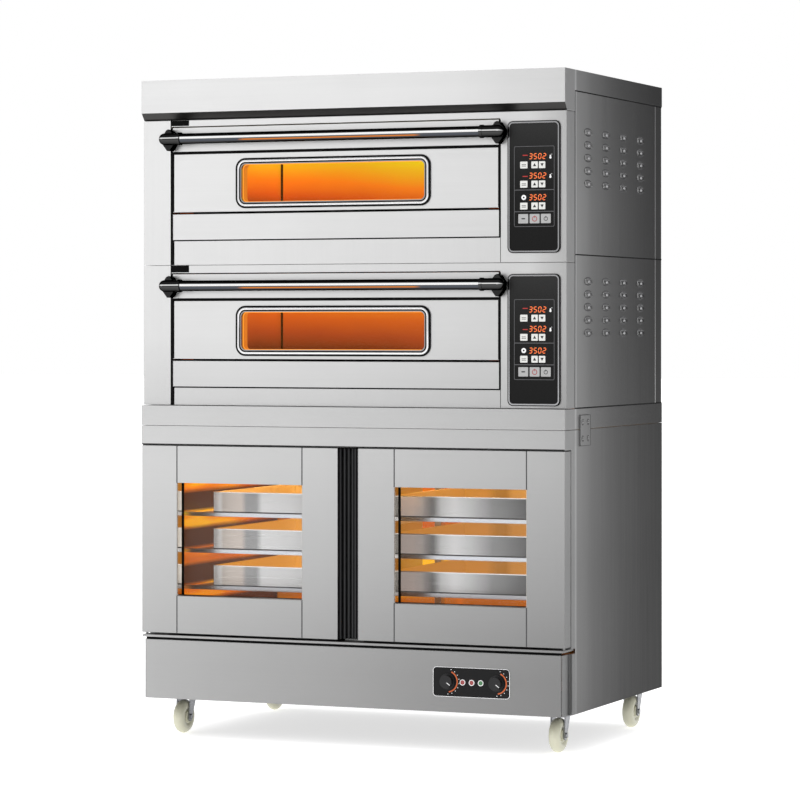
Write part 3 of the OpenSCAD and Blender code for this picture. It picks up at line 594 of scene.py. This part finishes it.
def deck_panel(w):
    lo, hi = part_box("overlay_" + w)
    cx_, cz = (lo.x + hi.x) / 2, (lo.z + hi.z) / 2
    yk = lo.y                      # face of the raised keys
    yf = yk + 0.8 * MM             # face of the film
    c = (cx_, cz)
    # printed outline and dividers
    bm = bmesh.new()
    ring(bm, rr(112 * MM, 210 * MM, 4 * MM), rr(109.4 * MM, 207.4 * MM, 2.8 * MM), (cx_ + 1 * MM, cz + 1 * MM), yf - 0.12 * MM, yf + 0.2 * MM)
    for z in (-8.0, -64.5):
        cube(bm, (cx_ - 54 * MM, yf - 0.12 * MM, cz + (z - 0.9) * MM), (cx_ + 56 * MM, yf + 0.2 * MM, cz + (z + 0.9) * MM))
    obj_from("panel_outline_" + w, bm, LINEP, "cabinet")
    # digits
    bm = bmesh.new()
    for z in (79.5, 29, -27.5):
        seven(bm, "3502", cx_ + 10 * MM, cz + z * MM, 7.2 * MM, 13.4 * MM, 12.6 * MM, 2.4 * MM, yf + 0.35 * MM, yf + 1.1 * MM)
    obj_from("display_digits_" + w, bm, RED_GLOW, "cabinet")
    bm = bmesh.new()
    for z in (79.5, 29, -27.5):
        seven(bm, "3502", cx_ + 10 * MM, cz + z * MM, 7.2 * MM, 13.4 * MM, 12.6 * MM, 0.7 * MM, yf + 0.2 * MM, yf + 0.6 * MM)
    obj_from("display_cores_" + w, bm, CORE_GLOW, "cabinet")
    # windows' smoked lens rims
    bm = bmesh.new()
    for z in (79.5, 29, -27.5):
        ring(bm, rr(58 * MM, 20 * MM, 2 * MM), rr(56.6 * MM, 18.6 * MM, 1.4 * MM), (cx_ + 10 * MM, cz + z * MM), yf - 0.1 * MM, yf + 1.0 * MM)
    obj_from("display_rims_" + w, bm, BLACK, "cabinet")
    # red status bars and white icons
    bm = bmesh.new()
    for z in (81, 26):
        cube(bm, (cx_ - 31 * MM, yf - 0.15 * MM, cz + (z + 0.1) * MM), (cx_ - 17 * MM, yf + 0.2 * MM, cz + (z + 2.5) * MM))
    obj_from("status_bars_" + w, bm, RED_DIM, "cabinet")
    bm = bmesh.new()
    for z in (79.5, 29):
        prism(bm, rr(4 * MM, 8 * MM, 1.9 * MM), (cx_ + 46 * MM, cz + (z - 1) * MM), yf - 0.15 * MM, yf + 0.2 * MM)
        prism(bm, disc_pts(3 * MM, 20), (cx_ + 46 * MM, cz + (z - 4) * MM), yf - 0.16 * MM, yf + 0.2 * MM)
        cube(bm, (cx_ + 48.0 * MM, yf - 0.15 * MM, cz + (z + 4) * MM), (cx_ + 51 * MM, yf + 0.2 * MM, cz + (z + 5) * MM))
    ring(bm, disc_pts(6.6 * MM), disc_pts(2.4 * MM), (cx_ - 28 * MM, cz - 27.5 * MM), yf - 0.15 * MM, yf + 0.2 * MM)
    obj_from("panel_icons_" + w, bm, PRINTW, "cabinet")
    # key caps printed on the raised pads
    bm, bd, bg, br = bmesh.new(), bmesh.new(), bmesh.new(), bmesh.new()
    y0, y1 = yk - 0.18 * MM, yk + 0.1 * MM
    for z in (57, 7, -50):
        prism(bm, rr(20.4 * MM, 17.9 * MM, 1.6 * MM), (cx_ - 27.5 * MM, cz + z * MM), y0, y1)
        for x in (2.4, 23.2):
            prism(bm, rr(17.9 * MM, 17.9 * MM, 1.6 * MM), (cx_ + x * MM, cz + z * MM), y0, y1)
        ya, yb = y0 - 0.12 * MM, y0 + 0.05 * MM
        prism(bd, [(-4.6 * MM, -3.6 * MM), (4.6 * MM, -3.6 * MM), (0, 4.4 * MM)], (cx_ + 2.4 * MM, cz + z * MM), ya, yb)
        prism(bd, [(-4.6 * MM, 3.6 * MM), (0, -4.4 * MM), (4.6 * MM, 3.6 * MM)], (cx_ + 23.2 * MM, cz + z * MM), ya, yb)
        for q in (-3.4, 0.4):
            cube(bd, (cx_ - 33.5 * MM, ya, cz + (z + q) * MM), (cx_ - 21.5 * MM, yb, cz + (z + q + 1.5) * MM))
    ya, yb = y0 - 0.12 * MM, y0 + 0.05 * MM
    for x in (-29, 2.5, 33.5):
        prism(bg, rr(27.4 * MM, 24.4 * MM, 1.8 * MM), (cx_ + x * MM, cz - 83 * MM), y0, y1)
    cube(bd, (cx_ - 34 * MM, ya, cz - 84.5 * MM), (cx_ - 24 * MM, yb, cz - 81.5 * MM))
    ring(bd, disc_pts(5.6 * MM), disc_pts(4.1 * MM), (cx_ + 33.5 * MM, cz - 83.5 * MM), ya, yb)
    cube(bd, (cx_ + 32.8 * MM, ya - 0.02 * MM, cz - 82 * MM), (cx_ + 34.2 * MM, yb, cz - 76.5 * MM))
    ring(br, disc_pts(7.2 * MM), disc_pts(5.2 * MM), (cx_ + 2.5 * MM, cz - 83.5 * MM), ya, yb)
    cube(br, (cx_ + 1.7 * MM, ya - 0.02 * MM, cz - 81.5 * MM), (cx_ + 3.3 * MM, yb, cz - 75 * MM))
    obj_from("key_caps_" + w, bm, WHITEP, "cabinet")
    obj_from("key_caps_grey_" + w, bg, GREYP, "cabinet")
    obj_from("key_symbols_" + w, bd, BLACK, "cabinet")
    obj_from("power_symbol_" + w, br, KEYRED, "cabinet")
    # inner lip of the chrome surround and its painted shadow line, one black ring
    blo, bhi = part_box("bezel_" + w)
    bw, bh = bhi.x - blo.x, bhi.z - blo.z
    bm = bmesh.new()
    ring(bm, rr(bw + 1.5 * MM, bh + 1.5 * MM, 14.5 * MM), rr(bw - 3.2 * MM, bh - 3.2 * MM, 12.6 * MM), c, blo.y - 0.25 * MM, bhi.y)
    obj_from("panel_lip_shadow_" + w, bm, RUBBER_AND_SHADE, "cabinet", 0.3 * MM)


# painted warm glow (emission) for the reveal and lining round the oven windows
REVEAL = glow("window_reveal_warm", (0.80, 0.26, 0.012), 0.85, (0.5, 0.2, 0.02))
LINING = glow("window_lining_warm", (0.62, 0.17, 0.010), 0.8, (0.4, 0.15, 0.02))
KEYRED = plastic("key_red", (0.30, 0.04, 0.04), 0.45, 900.0, 0.1)
for w in UL:
    deck_panel(w)


# ------------------------------------------------------------------ oven doors
def oven_door(w):
    body = "oven_door_" + w
    lo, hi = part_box("window_bezel_" + w)
    c = ((lo.x + hi.x) / 2, (lo.z + hi.z) / 2)
    W, H = hi.x - lo.x, hi.z - lo.z
    # dark outer gasket, and a dark ring that paints the shade in the groove that splits the chrome frame
    bm = bmesh.new()
    ring(bm, rr(W + 4.6 * MM, H + 4.6 * MM, 28 * MM), rr(W - 5 * MM, H - 5 * MM, 23.5 * MM), c, lo.y - 0.3 * MM, lo.y + 3.9 * MM)
    ring(bm, rr(W - 17 * MM, H - 17 * MM, 17.5 * MM), rr(W - 24 * MM, H - 24 * MM, 14 * MM), c, lo.y - 0.3 * MM, lo.y + 1.0 * MM)
    obj_from("window_gasket_" + w, bm, RUBBER_AND_SHADE, body, 0.4 * MM, 40)
    # rounded chrome bead between them
    bm = bmesh.new()
    ring(bm, rr(W - 6.2 * MM, H - 6.2 * MM, 22.9 * MM), rr(W - 16.8 * MM, H - 16.8 * MM, 17.6 * MM), c, lo.y - 1.4 * MM, lo.y + 1.0 * MM)
    obj_from("window_bead_" + w, bm, CHROME, body, 1.4 * MM, 60)


for w in UL:
    oven_door(w)


def strips(name, body, boxes, mat=None):
    """Thin seals and shadow gaps, each given by two corners in metres."""
    bm = bmesh.new()
    for a, b in boxes:
        cube(bm, a, b)
    return obj_from(name, bm, mat or RUBBER_AND_SHADE, body)


for w in UL:
    dlo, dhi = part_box("door_" + w)
    slo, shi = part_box("sill_" + w)
    flo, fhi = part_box("front_frame_" + w)
    xl, xr = dlo.x + 12 * MM, dhi.x - 12 * MM        # the door without its pins
    yd, z0, z1 = dlo.y, dlo.z, dhi.z
    ys = slo.y
    # dark strips on the door that paint the shadow in the groove under the handle strip and on the returns at both
    # edges
    strips("door_shadow_lines_" + w, "oven_door_" + w, [
        ((xl + 0.2 * MM, yd - 0.3 * MM, z0 + 157.0 * MM), (xr - 0.2 * MM, yd + 3 * MM, z0 + 164.8 * MM)),
        ((xl - 0.2 * MM, yd - 0.3 * MM, z0 + 1 * MM), (xl + 4.2 * MM, yd + 2 * MM, z0 + 157.0 * MM)),
        ((xr - 1.8 * MM, yd - 0.3 * MM, z0 + 1 * MM), (xr + 0.2 * MM, yd + 2 * MM, z0 + 157.0 * MM))])
    # seal behind the door's edge, clear of its swing, and dark strips that paint the shade in the returns of the mouth
    strips("mouth_seal_and_shade_" + w, "cabinet", [
        ((xl - 3.8 * MM, yd + 41 * MM, z0 - 5 * MM), (xl + 10 * MM, yd + 44 * MM, z1 + 3 * MM)),
        ((xr - 10 * MM, yd + 41 * MM, z0 - 5 * MM), (xr + 3.8 * MM, yd + 44 * MM, z1 + 3 * MM)),
        ((xl, yd + 41 * MM, z0 - 5 * MM), (xr, yd + 44 * MM, z0 + 8 * MM)),
        ((xl, yd + 41 * MM, z1 - 8 * MM), (xr, yd + 44 * MM, z1 + 3 * MM)),
        ((xl - 7 * MM, yd - 0.3 * MM, slo.z), (xl - 0.6 * MM, yd + 2.0 * MM, z1)),
        ((xr + 0.6 * MM, yd - 0.3 * MM, slo.z), (xr + 6.0 * MM, yd + 2.0 * MM, z1)),
        ((xl - 7 * MM, yd - 0.3 * MM, flo.z + 0.3 * MM), (xl + 4.5 * MM, yd + 1.0 * MM, slo.z)),
        ((xr + 4.2 * MM, yd - 0.25 * MM, flo.z + 0.3 * MM), (xr + 5.6 * MM, yd + 1.0 * MM, slo.z)),
        ((xl - 7 * MM, yd - 0.28 * MM, z1), (xl - 4.2 * MM, yd + 1.0 * MM, fhi.z)),
        ((xl - 7 * MM, yd - 0.26 * MM, z1 + 5 * MM), (xl + 49 * MM, yd + 1.0 * MM, fhi.z - 0.3 * MM)),
        ((xl - 4 * MM, ys + 4 * MM, slo.z - 5 * MM), (xr + 4 * MM, ys + 6 * MM, slo.z + 1 * MM)),
        # on the sill, behind the swing of the door's lower edge
        ((slo.x, yd + 20 * MM, shi.z), (shi.x, yd + 37 * MM, shi.z + 3 * MM)),
        ((slo.x + 1 * MM, ys - 0.2 * MM, slo.z), (shi.x - 1 * MM, ys + 1 * MM, slo.z + 1.6 * MM))])
    # corner joint at the back left of the baking chamber
    strips("chamber_corner_" + w, "cabinet", [
        ((-0.4825, 0.2385, z0 + 6 * MM), (-0.476, 0.2405, z0 + 205 * MM))])
    # warm reveal round the window, and its lining: both glow with painted warm light (emission) of the lit chamber
    wlo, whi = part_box("window_bezel_" + w)
    W, H = whi.x - wlo.x, whi.z - wlo.z
    bm = bmesh.new()
    ring(bm, rr(W - 28.6 * MM, H - 28.6 * MM, 13.2 * MM), rr(W - 32.2 * MM, H - 32.2 * MM, 11.5 * MM),
         ((wlo.x + whi.x) / 2, (wlo.z + whi.z) / 2), yd + 6.0 * MM, yd + 8.6 * MM)
    obj_from("window_reveal_" + w, bm, REVEAL, "oven_door_" + w, 0.4 * MM, 50)
    bm = bmesh.new()
    ring(bm, rr(W - 24.2 * MM, H - 24.2 * MM, 15.9 * MM), rr(W - 25.4 * MM, H - 25.4 * MM, 15.3 * MM),
         ((wlo.x + whi.x) / 2, (wlo.z + whi.z) / 2), yd + 14.3 * MM, yd + 38.8 * MM)
    obj_from("window_lining_" + w, bm, LINING, "oven_door_" + w)


# ------------------------------------------------------------------ proofer
# dark print for joints, also used for the painted shadow rings round the louvres
JOINT_AND_SHADE_DARK = plastic("joint_and_shade_dark", (0.035, 0.035, 0.037), 0.5, 900.0, 0.05)
MIRROR = chrome("mirror_reveal", (0.80, 0.74, 0.66), 0.05)


def proofer_side(sd):
    body = "proofer_door_" + sd
    lo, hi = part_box("proofer_glass_" + sd)
    c = ((lo.x + hi.x) / 2, (lo.z + hi.z) / 2)
    W, H = hi.x - lo.x, hi.z - lo.z
    bm = bmesh.new()
    ring(bm, rr(W + 0.4 * MM, H + 0.4 * MM, 1 * MM, 2), rr(W - 8.4 * MM, H - 2.4 * MM, 1 * MM, 2), c, lo.y - 3.2 * MM, lo.y - 0.2 * MM)
    obj_from("glass_gasket_" + sd, bm, RUBBER_AND_SHADE, body, 0.3 * MM)
    dlo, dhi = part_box(body)
    # polished reveals beside the glass, which mirror the lit inside
    bm = bmesh.new()
    for x0 in (lo.x - 0.1 * MM, hi.x - 0.9 * MM):
        cube(bm, (x0, dlo.y + 2.4 * MM, lo.z), (x0 + 1.0 * MM, lo.y - 3.3 * MM, hi.z))
    obj_from("glass_reveal_" + sd, bm, MIRROR, body)
    # joints between the stiles and the rails
    d = 0.3 * MM
    xs = (lo.x - d, hi.x + d)
    strips("door_joints_" + sd, body, [
        ((x - 1.5 * MM, dlo.y - 0.15 * MM, a), (x + 1.5 * MM, dlo.y + 1.2 * MM, b))
        for x in xs for a, b in ((dlo.z + 12 * MM, lo.z), (hi.z, dhi.z - 12 * MM))], JOINT_AND_SHADE_DARK)


for sd in ("left", "right"):
    proofer_side(sd)

# shadow gaps above and below the proofer doors
rlo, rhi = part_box("proofer_frame")
plo_, phi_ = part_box("proofer_door_left")
ptop, pbot = phi_.z - 12 * MM, plo_.z + 12 * MM
strips("proofer_gap_lines", "cabinet", [
    ((rlo.x + 3 * MM, rlo.y + 4.0 * MM, ptop + 0.5 * MM), (rhi.x - 3 * MM, rlo.y + 40 * MM, ptop + 3.2 * MM))])
strips("rail_edge_line", "cabinet", [
    ((rlo.x + 1 * MM, rlo.y + 2.7 * MM, ptop + 3.2 * MM), (rhi.x - 1 * MM, rlo.y + 4 * MM, ptop + 5.6 * MM))])
# edges of the trays: bright rim strips that paint the highlights on the rims, and a dark line at each foot
tlo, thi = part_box("dough_trays")
rims, feet = [], []
tw = 0.400
for k in range(3):
    zb = tlo.z + k * 0.101
    zt = zb + 0.061
    for x0 in (tlo.x, thi.x - tw):
        rims.append(((x0, tlo.y - 0.6 * MM, zt - 2.2 * MM), (x0 + tw, tlo.y + 0.2 * MM, zt)))
        rims.append(((x0, tlo.y - 0.6 * MM, zb + 6 * MM), (x0 + 2.4 * MM, tlo.y + 0.2 * MM, zt - 2.3 * MM)))
        feet.append(((x0, tlo.y - 0.9 * MM, zb + 4.9 * MM), (x0 + tw, tlo.y + 0.1 * MM, zb + 7.4 * MM)))
strips("tray_rims", "cabinet", rims, RIM)
strips("tray_foot_lines", "cabinet", feet, JOINT_AND_SHADE_DARK)
# dark backing that paints the shade between the base and the ledge, and the seal that the doors' lower edges close on
blo_, bhi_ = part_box("base_front")
llo_ = pbot - 6 * MM                      # top of the ledge
strips("proofer_ledge_lines", "cabinet", [
    ((blo_.x + 12 * MM, blo_.y + 4 * MM, bhi_.z - 0.5 * MM), (bhi_.x - 12 * MM, blo_.y + 8 * MM, llo_ - 5.5 * MM)),
    ((-0.5552, plo_.y + 45.4 * MM, llo_ - 0.5 * MM), (-0.0285, plo_.y + 49 * MM, llo_ + 12 * MM)),
    ((0.0285, plo_.y + 45.4 * MM, llo_ - 0.5 * MM), (0.5552, plo_.y + 49 * MM, llo_ + 12 * MM))])
# seams between the side panels, the plinth and the hood, and the joints of the back with the sides
seams = []
slo_, shi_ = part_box("side_upper_right")
for nm in ("side_upper", "side_lower"):
    a_, b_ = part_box(nm + "_right")
    for z in ((a_.z, b_.z) if nm == "side_upper" else (a_.z,)):
        for sx in (-1, 1):
            x0, x1 = sorted((sx * 0.6125, sx * 0.61525))
            seams.append(((x0, a_.y + 1 * MM, z - 1.9 * MM), (x1, b_.y - 2 * MM, z + 1.4 * MM)))
strips("side_seams", "cabinet", seams)


def side_ring(bm, outer, inner, c, x0, x1):
    """Flat ring on a side panel; outlines are (y, z) round c."""
    n = len(outer)
    L = [[bm.verts.new((x, c[0] + p[0], c[1] + p[1])) for p in pts] for pts, x in ((outer, x0), (inner, x0), (inner, x1), (outer, x1))]
    for k in range(4):
        a, b = L[k], L[(k + 1) % 4]
        for i in range(n):
            j = (i + 1) % n
            bm.faces.new((a[i], a[j], b[j], b[i]))


def oval(w, h, n=20):
    return [(w * math.cos(2 * math.pi * i / n), h * math.sin(2 * math.pi * i / n)) for i in range(n)]


# a dark backing behind each louvre block, a dark ring round each louvre and a bright oval on each lip: painted shade
# and painted highlights
baf, bmr, bml = [], bmesh.new(), bmesh.new()
for sx in (-1, 1):
    for lz in (1.634, 1.241):
        x0, x1 = sorted((sx * 0.6095, sx * 0.6125))
        baf.append(((x0, -0.240, lz - 0.155), (x1, 0.262, lz + 0.018)))
        for i in range(4):
            for k in range(5):
                c = (-0.20275 + i * 0.143, lz - k * 0.034)
                x0, x1 = sorted((sx * 0.6148, sx * 0.6153))
                side_ring(bmr, oval(0.031, 0.0115), oval(0.0245, 0.0078), c, x0, x1)
                # bright chrome oval that paints the highlight on the lip
                x0, x1 = sorted((sx * 0.6150, sx * 0.61985))
                side_ring(bml, oval(0.0085, 0.0042, 12), oval(0.001, 0.0005, 12), (c[0] - 0.003, c[1] - 0.0015), x0, x1)
strips("louvre_shadow_backing", "cabinet", baf)
obj_from("louvre_shadow_rings", bmr, JOINT_AND_SHADE_DARK, "cabinet")
obj_from("louvre_highlight_ovals", bml, CHROME, "cabinet", 0.6 * MM, 50)
# dark joint lines at the back and front edges of the side panels, and bright strips beside them that paint the edges'
# highlights
dark, bright = [], []
for nm in ("side_upper", "side_lower"):
    a_, b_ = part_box(nm + "_right")
    for sx in (-1, 1):
        x0, x1 = sorted((sx * 0.6128, sx * 0.61525))
        dark.append(((x0, 0.3532, a_.z), (x1, 0.3562, b_.z)))
        dark.append(((x0, a_.y - 2.2 * MM, a_.z), (x1, a_.y + 0.4 * MM, b_.z)))
        bright.append(((x0, 0.3562, a_.z), (x1, 0.3604, b_.z)))
        bright.append(((x0, a_.y + 0.4 * MM, a_.z), (x1, a_.y + 3.4 * MM, b_.z)))
strips("side_joint_lines", "cabinet", dark, JOINT_AND_SHADE_DARK)
strips("side_edge_highlights", "cabinet", bright, EDGE_HIGHLIGHT)
# pressed outline and screw rings of the joint plates
bm = bmesh.new()
jlo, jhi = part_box("joint_plates")
for sx in (-1, 1):
    x0, x1 = sorted((sx * 0.6172, sx * 0.6178))
    cy_, cz_ = (jlo.y + jhi.y) / 2, (jlo.z + jhi.z) / 2
    side_ring(bm, rr(81 * MM, 82 * MM, 3 * MM, 3), rr(77.5 * MM, 78.5 * MM, 2 * MM, 3), (cy_, cz_), x0, x1)
    for y in (52, 94):
        for z in (827, 870):
            side_ring(bm, oval(8.4 * MM, 8.4 * MM), oval(5.7 * MM, 5.7 * MM), ((y - 301.75) * MM, z * MM), x0, x1)
obj_from("plate_lines", bm, JOINT_AND_SHADE_DARK, "cabinet")
olo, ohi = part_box("oven_back")
# dark strips behind the back vents that paint the shade in the slots and hide the chambers' painted glow
strips("back_vent_shadow_strips", "cabinet", [
    ((-0.34, ohi.y - 7 * MM, z - 0.014), (0.34, ohi.y - 4 * MM, z + 0.014)) for z in (0.907 + 0.304, 1.306 + 0.304)])
strips("back_corner_strips", "cabinet", [
    ((sx * 0.6085 - 4.5 * MM, ohi.y - 3.4 * MM, olo.z), (sx * 0.6085 + 4.0 * MM, ohi.y - 2.0 * MM, ohi.z)) for sx in (-1, 1)], SIDE)

# ------------------------------------------------------------------ proofer controls
plo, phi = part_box("knob_plate")
pc = ((plo.x + phi.x) / 2, (plo.z + phi.z) / 2)
PW, PH = phi.x - plo.x, phi.z - plo.z
bm = bmesh.new()
ring(bm, rr(PW + 2.2 * MM, PH + 2.2 * MM, 10 * MM), rr(PW - 0.2 * MM, PH - 0.2 * MM, 9 * MM), pc, plo.y - 0.3 * MM, phi.y)
obj_from("knob_plate_rim", bm, CHROME, "cabinet", 0.3 * MM)


def arc_band(bm, c, r0, r1, a0, a1, y0, y1, n=36):
    rows = []
    for i in range(n + 1):
        a = math.radians(a0 + (a1 - a0) * i / n)
        ca, sa = math.cos(a), math.sin(a)
        rows.append([bm.verts.new((c[0] + r * ca, y, c[1] + r * sa)) for r, y in ((r0, y0), (r1, y0), (r1, y1), (r0, y1))])
    for i in range(n):
        a, b = rows[i], rows[i + 1]
        for k in range(4):
            bm.faces.new((a[k], a[(k + 1) % 4], b[(k + 1) % 4], b[k]))
    bm.faces.new(rows[0])
    bm.faces.new(rows[-1][::-1])


bo, bt = bmesh.new(), bmesh.new()
for kn in ("knob_temperature", "knob_humidity"):
    lo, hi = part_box(kn)
    c = ((lo.x + hi.x) / 2, (lo.z + hi.z) / 2)
    arc_band(bo, c, 25.8 * MM, 29.2 * MM, 66, -82, plo.y - 0.15 * MM, plo.y + 0.2 * MM)
    for i in range(9):
        a = math.radians(72 - i * 20.0)
        prism(bt, disc_pts(1.25 * MM, 12), (c[0] + 33 * MM * math.cos(a), c[1] + 33 * MM * math.sin(a)), plo.y - 0.15 * MM, plo.y + 0.2 * MM)
    # printed pointer on the knob's cap
    bp = bmesh.new()
    a = math.radians(-35)
    d = Vector((math.cos(a), 0, math.sin(a)))
    s = Vector((-math.sin(a), 0, math.cos(a))) * 0.9 * MM
    p0, p1 = Vector((c[0], 0, c[1])) + d * 4 * MM, Vector((c[0], 0, c[1])) + d * 15 * MM
    vs = []
    for y in (lo.y - 0.12 * MM, lo.y + 0.9 * MM):
        for q in (p0 - s, p1 - s, p1 + s, p0 + s):
            vs.append(bp.verts.new((q.x, y, q.z)))
    for q in ((0, 1, 2, 3), (7, 6, 5, 4), (0, 4, 5, 1), (1, 5, 6, 2), (2, 6, 7, 3), (3, 7, 4, 0)):
        bp.faces.new([vs[i] for i in q])
    obj_from("pointer_" + kn, bp, PRINTW, kn)
obj_from("scale_arcs", bo, ORANGE, "cabinet")
obj_from("scale_ticks", bt, PRINTW, "cabinet")
llo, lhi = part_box("indicator_lamps")
lz = (llo.z + lhi.z) / 2
bm = bmesh.new()
for i in range(3):
    x = llo.x + 7 * MM + i * 25.5 * MM
    ring(bm, disc_pts(7.9 * MM), disc_pts(5.9 * MM), (x, lz), plo.y - 1.9 * MM, plo.y + 0.1 * MM)
obj_from("lamp_rings", bm, PRINTW, "cabinet", 0.6 * MM, 50)

# ------------------------------------------------------------------ stage and light
bm = bmesh.new()
R = 60.0
vs = [bm.verts.new(p) for p in ((-R, -R, 0), (R, -R, 0), (R, R, 0), (-R, R, 0))]
bm.faces.new(vs)
me = bpy.data.meshes.new("floor")
bm.to_mesh(me)
bm.free()
fm = Mat("floor_pale")
fn = fm.noise(0.8, (1, 1, 1), 2.0)
fm.set("Base Color", fm.mix(fn, (0.86, 0.86, 0.86), (0.88, 0.88, 0.88))).set("Roughness", 0.8).set("Specular IOR Level", 0.1)
fm.set("Emission Color", (1.0, 1.0, 1.0)).set("Emission Strength", 0.66)
me.materials.append(fm.m)
floor = bpy.data.objects.new("floor", me)
scene.collection.objects.link(floor)

world = bpy.data.worlds.new("studio")
scene.world = world
world.use_nodes = True
wt = world.node_tree
wt.nodes.clear()
wo = wt.nodes.new("ShaderNodeOutputWorld")
bg = wt.nodes.new("ShaderNodeBackground")
tc = wt.nodes.new("ShaderNodeTexCoord")
sp = wt.nodes.new("ShaderNodeSeparateXYZ")
wt.links.new(tc.outputs["Generated"], sp.inputs[0])
# bright towards the front left, dim towards the back right, brighter overhead
m1 = wt.nodes.new("ShaderNodeMath"); m1.operation = "MULTIPLY"; m1.inputs[1].default_value = -0.39
m2 = wt.nodes.new("ShaderNodeMath"); m2.operation = "MULTIPLY"; m2.inputs[1].default_value = -0.92
m3 = wt.nodes.new("ShaderNodeMath"); m3.operation = "ADD"
wt.links.new(sp.outputs[0], m1.inputs[0])
wt.links.new(sp.outputs[1], m2.inputs[0])
wt.links.new(m1.outputs[0], m3.inputs[0])
wt.links.new(m2.outputs[0], m3.inputs[1])
rp = wt.nodes.new("ShaderNodeValToRGB")
e = rp.color_ramp.elements
e[0].position = 0.0; e[0].color = (0.34, 0.34, 0.345, 1)
e[1].position = 1.0; e[1].color = (0.95, 0.95, 0.95, 1)
for pos, v in ((0.25, 0.42), (0.5, 0.60), (0.75, 0.86)):
    el = e.new(pos); el.color = (v, v, v, 1)
mr = wt.nodes.new("ShaderNodeMapRange")
mr.inputs["From Min"].default_value = -1.0
mr.inputs["From Max"].default_value = 1.0
wt.links.new(m3.outputs[0], mr.inputs["Value"])
wt.links.new(mr.outputs[0], rp.inputs[0])
mz = wt.nodes.new("ShaderNodeMapRange")
mz.inputs["From Min"].default_value = 0.35
mz.inputs["From Max"].default_value = 0.95
mz.inputs["To Min"].default_value = 1.0
mz.inputs["To Max"].default_value = 1.9
wt.links.new(sp.outputs[2], mz.inputs["Value"])
wt.links.new(mz.outputs[0], bg.inputs[1])
wt.links.new(rp.outputs[0], bg.inputs[0])
# plain white behind the object
bg2 = wt.nodes.new("ShaderNodeBackground")
bg2.inputs[0].default_value = (1, 1, 1, 1)
bg2.inputs[1].default_value = 1.0
lp = wt.nodes.new("ShaderNodeLightPath")
mx = wt.nodes.new("ShaderNodeMixShader")
wt.links.new(lp.outputs["Is Camera Ray"], mx.inputs[0])
wt.links.new(bg.outputs[0], mx.inputs[1])
wt.links.new(bg2.outputs[0], mx.inputs[2])
wt.links.new(mx.outputs[0], wo.inputs[0])


def area(name, loc, target, size, power, col=(1, 1, 1), sy=None):
    ld = bpy.data.lights.new(name, "AREA")
    ld.energy = power
    ld.color = col
    ld.size = size
    if sy:
        ld.shape = "RECTANGLE"
        ld.size_y = sy
    o = bpy.data.objects.new(name, ld)
    scene.collection.objects.link(o)
    o.location = loc
    o.rotation_euler = (Vector(target) - Vector(loc)).to_track_quat("-Z", "Y").to_euler()
    return o


for o in (area("key", (-3.2, -5.2, 3.6), (0, 0, 1.1), 3.0, 60), area("top", (0.5, -0.5, 5.0), (0, 0, 0), 3.5, 40)):
    o.visible_glossy = False
# warm lamps inside the proofer
area("proofer_lamp_back", (0.0, 0.30, 0.76), (0.0, 0.1, 0.3), 0.9, 3.0, (1.0, 0.62, 0.20), 0.05)
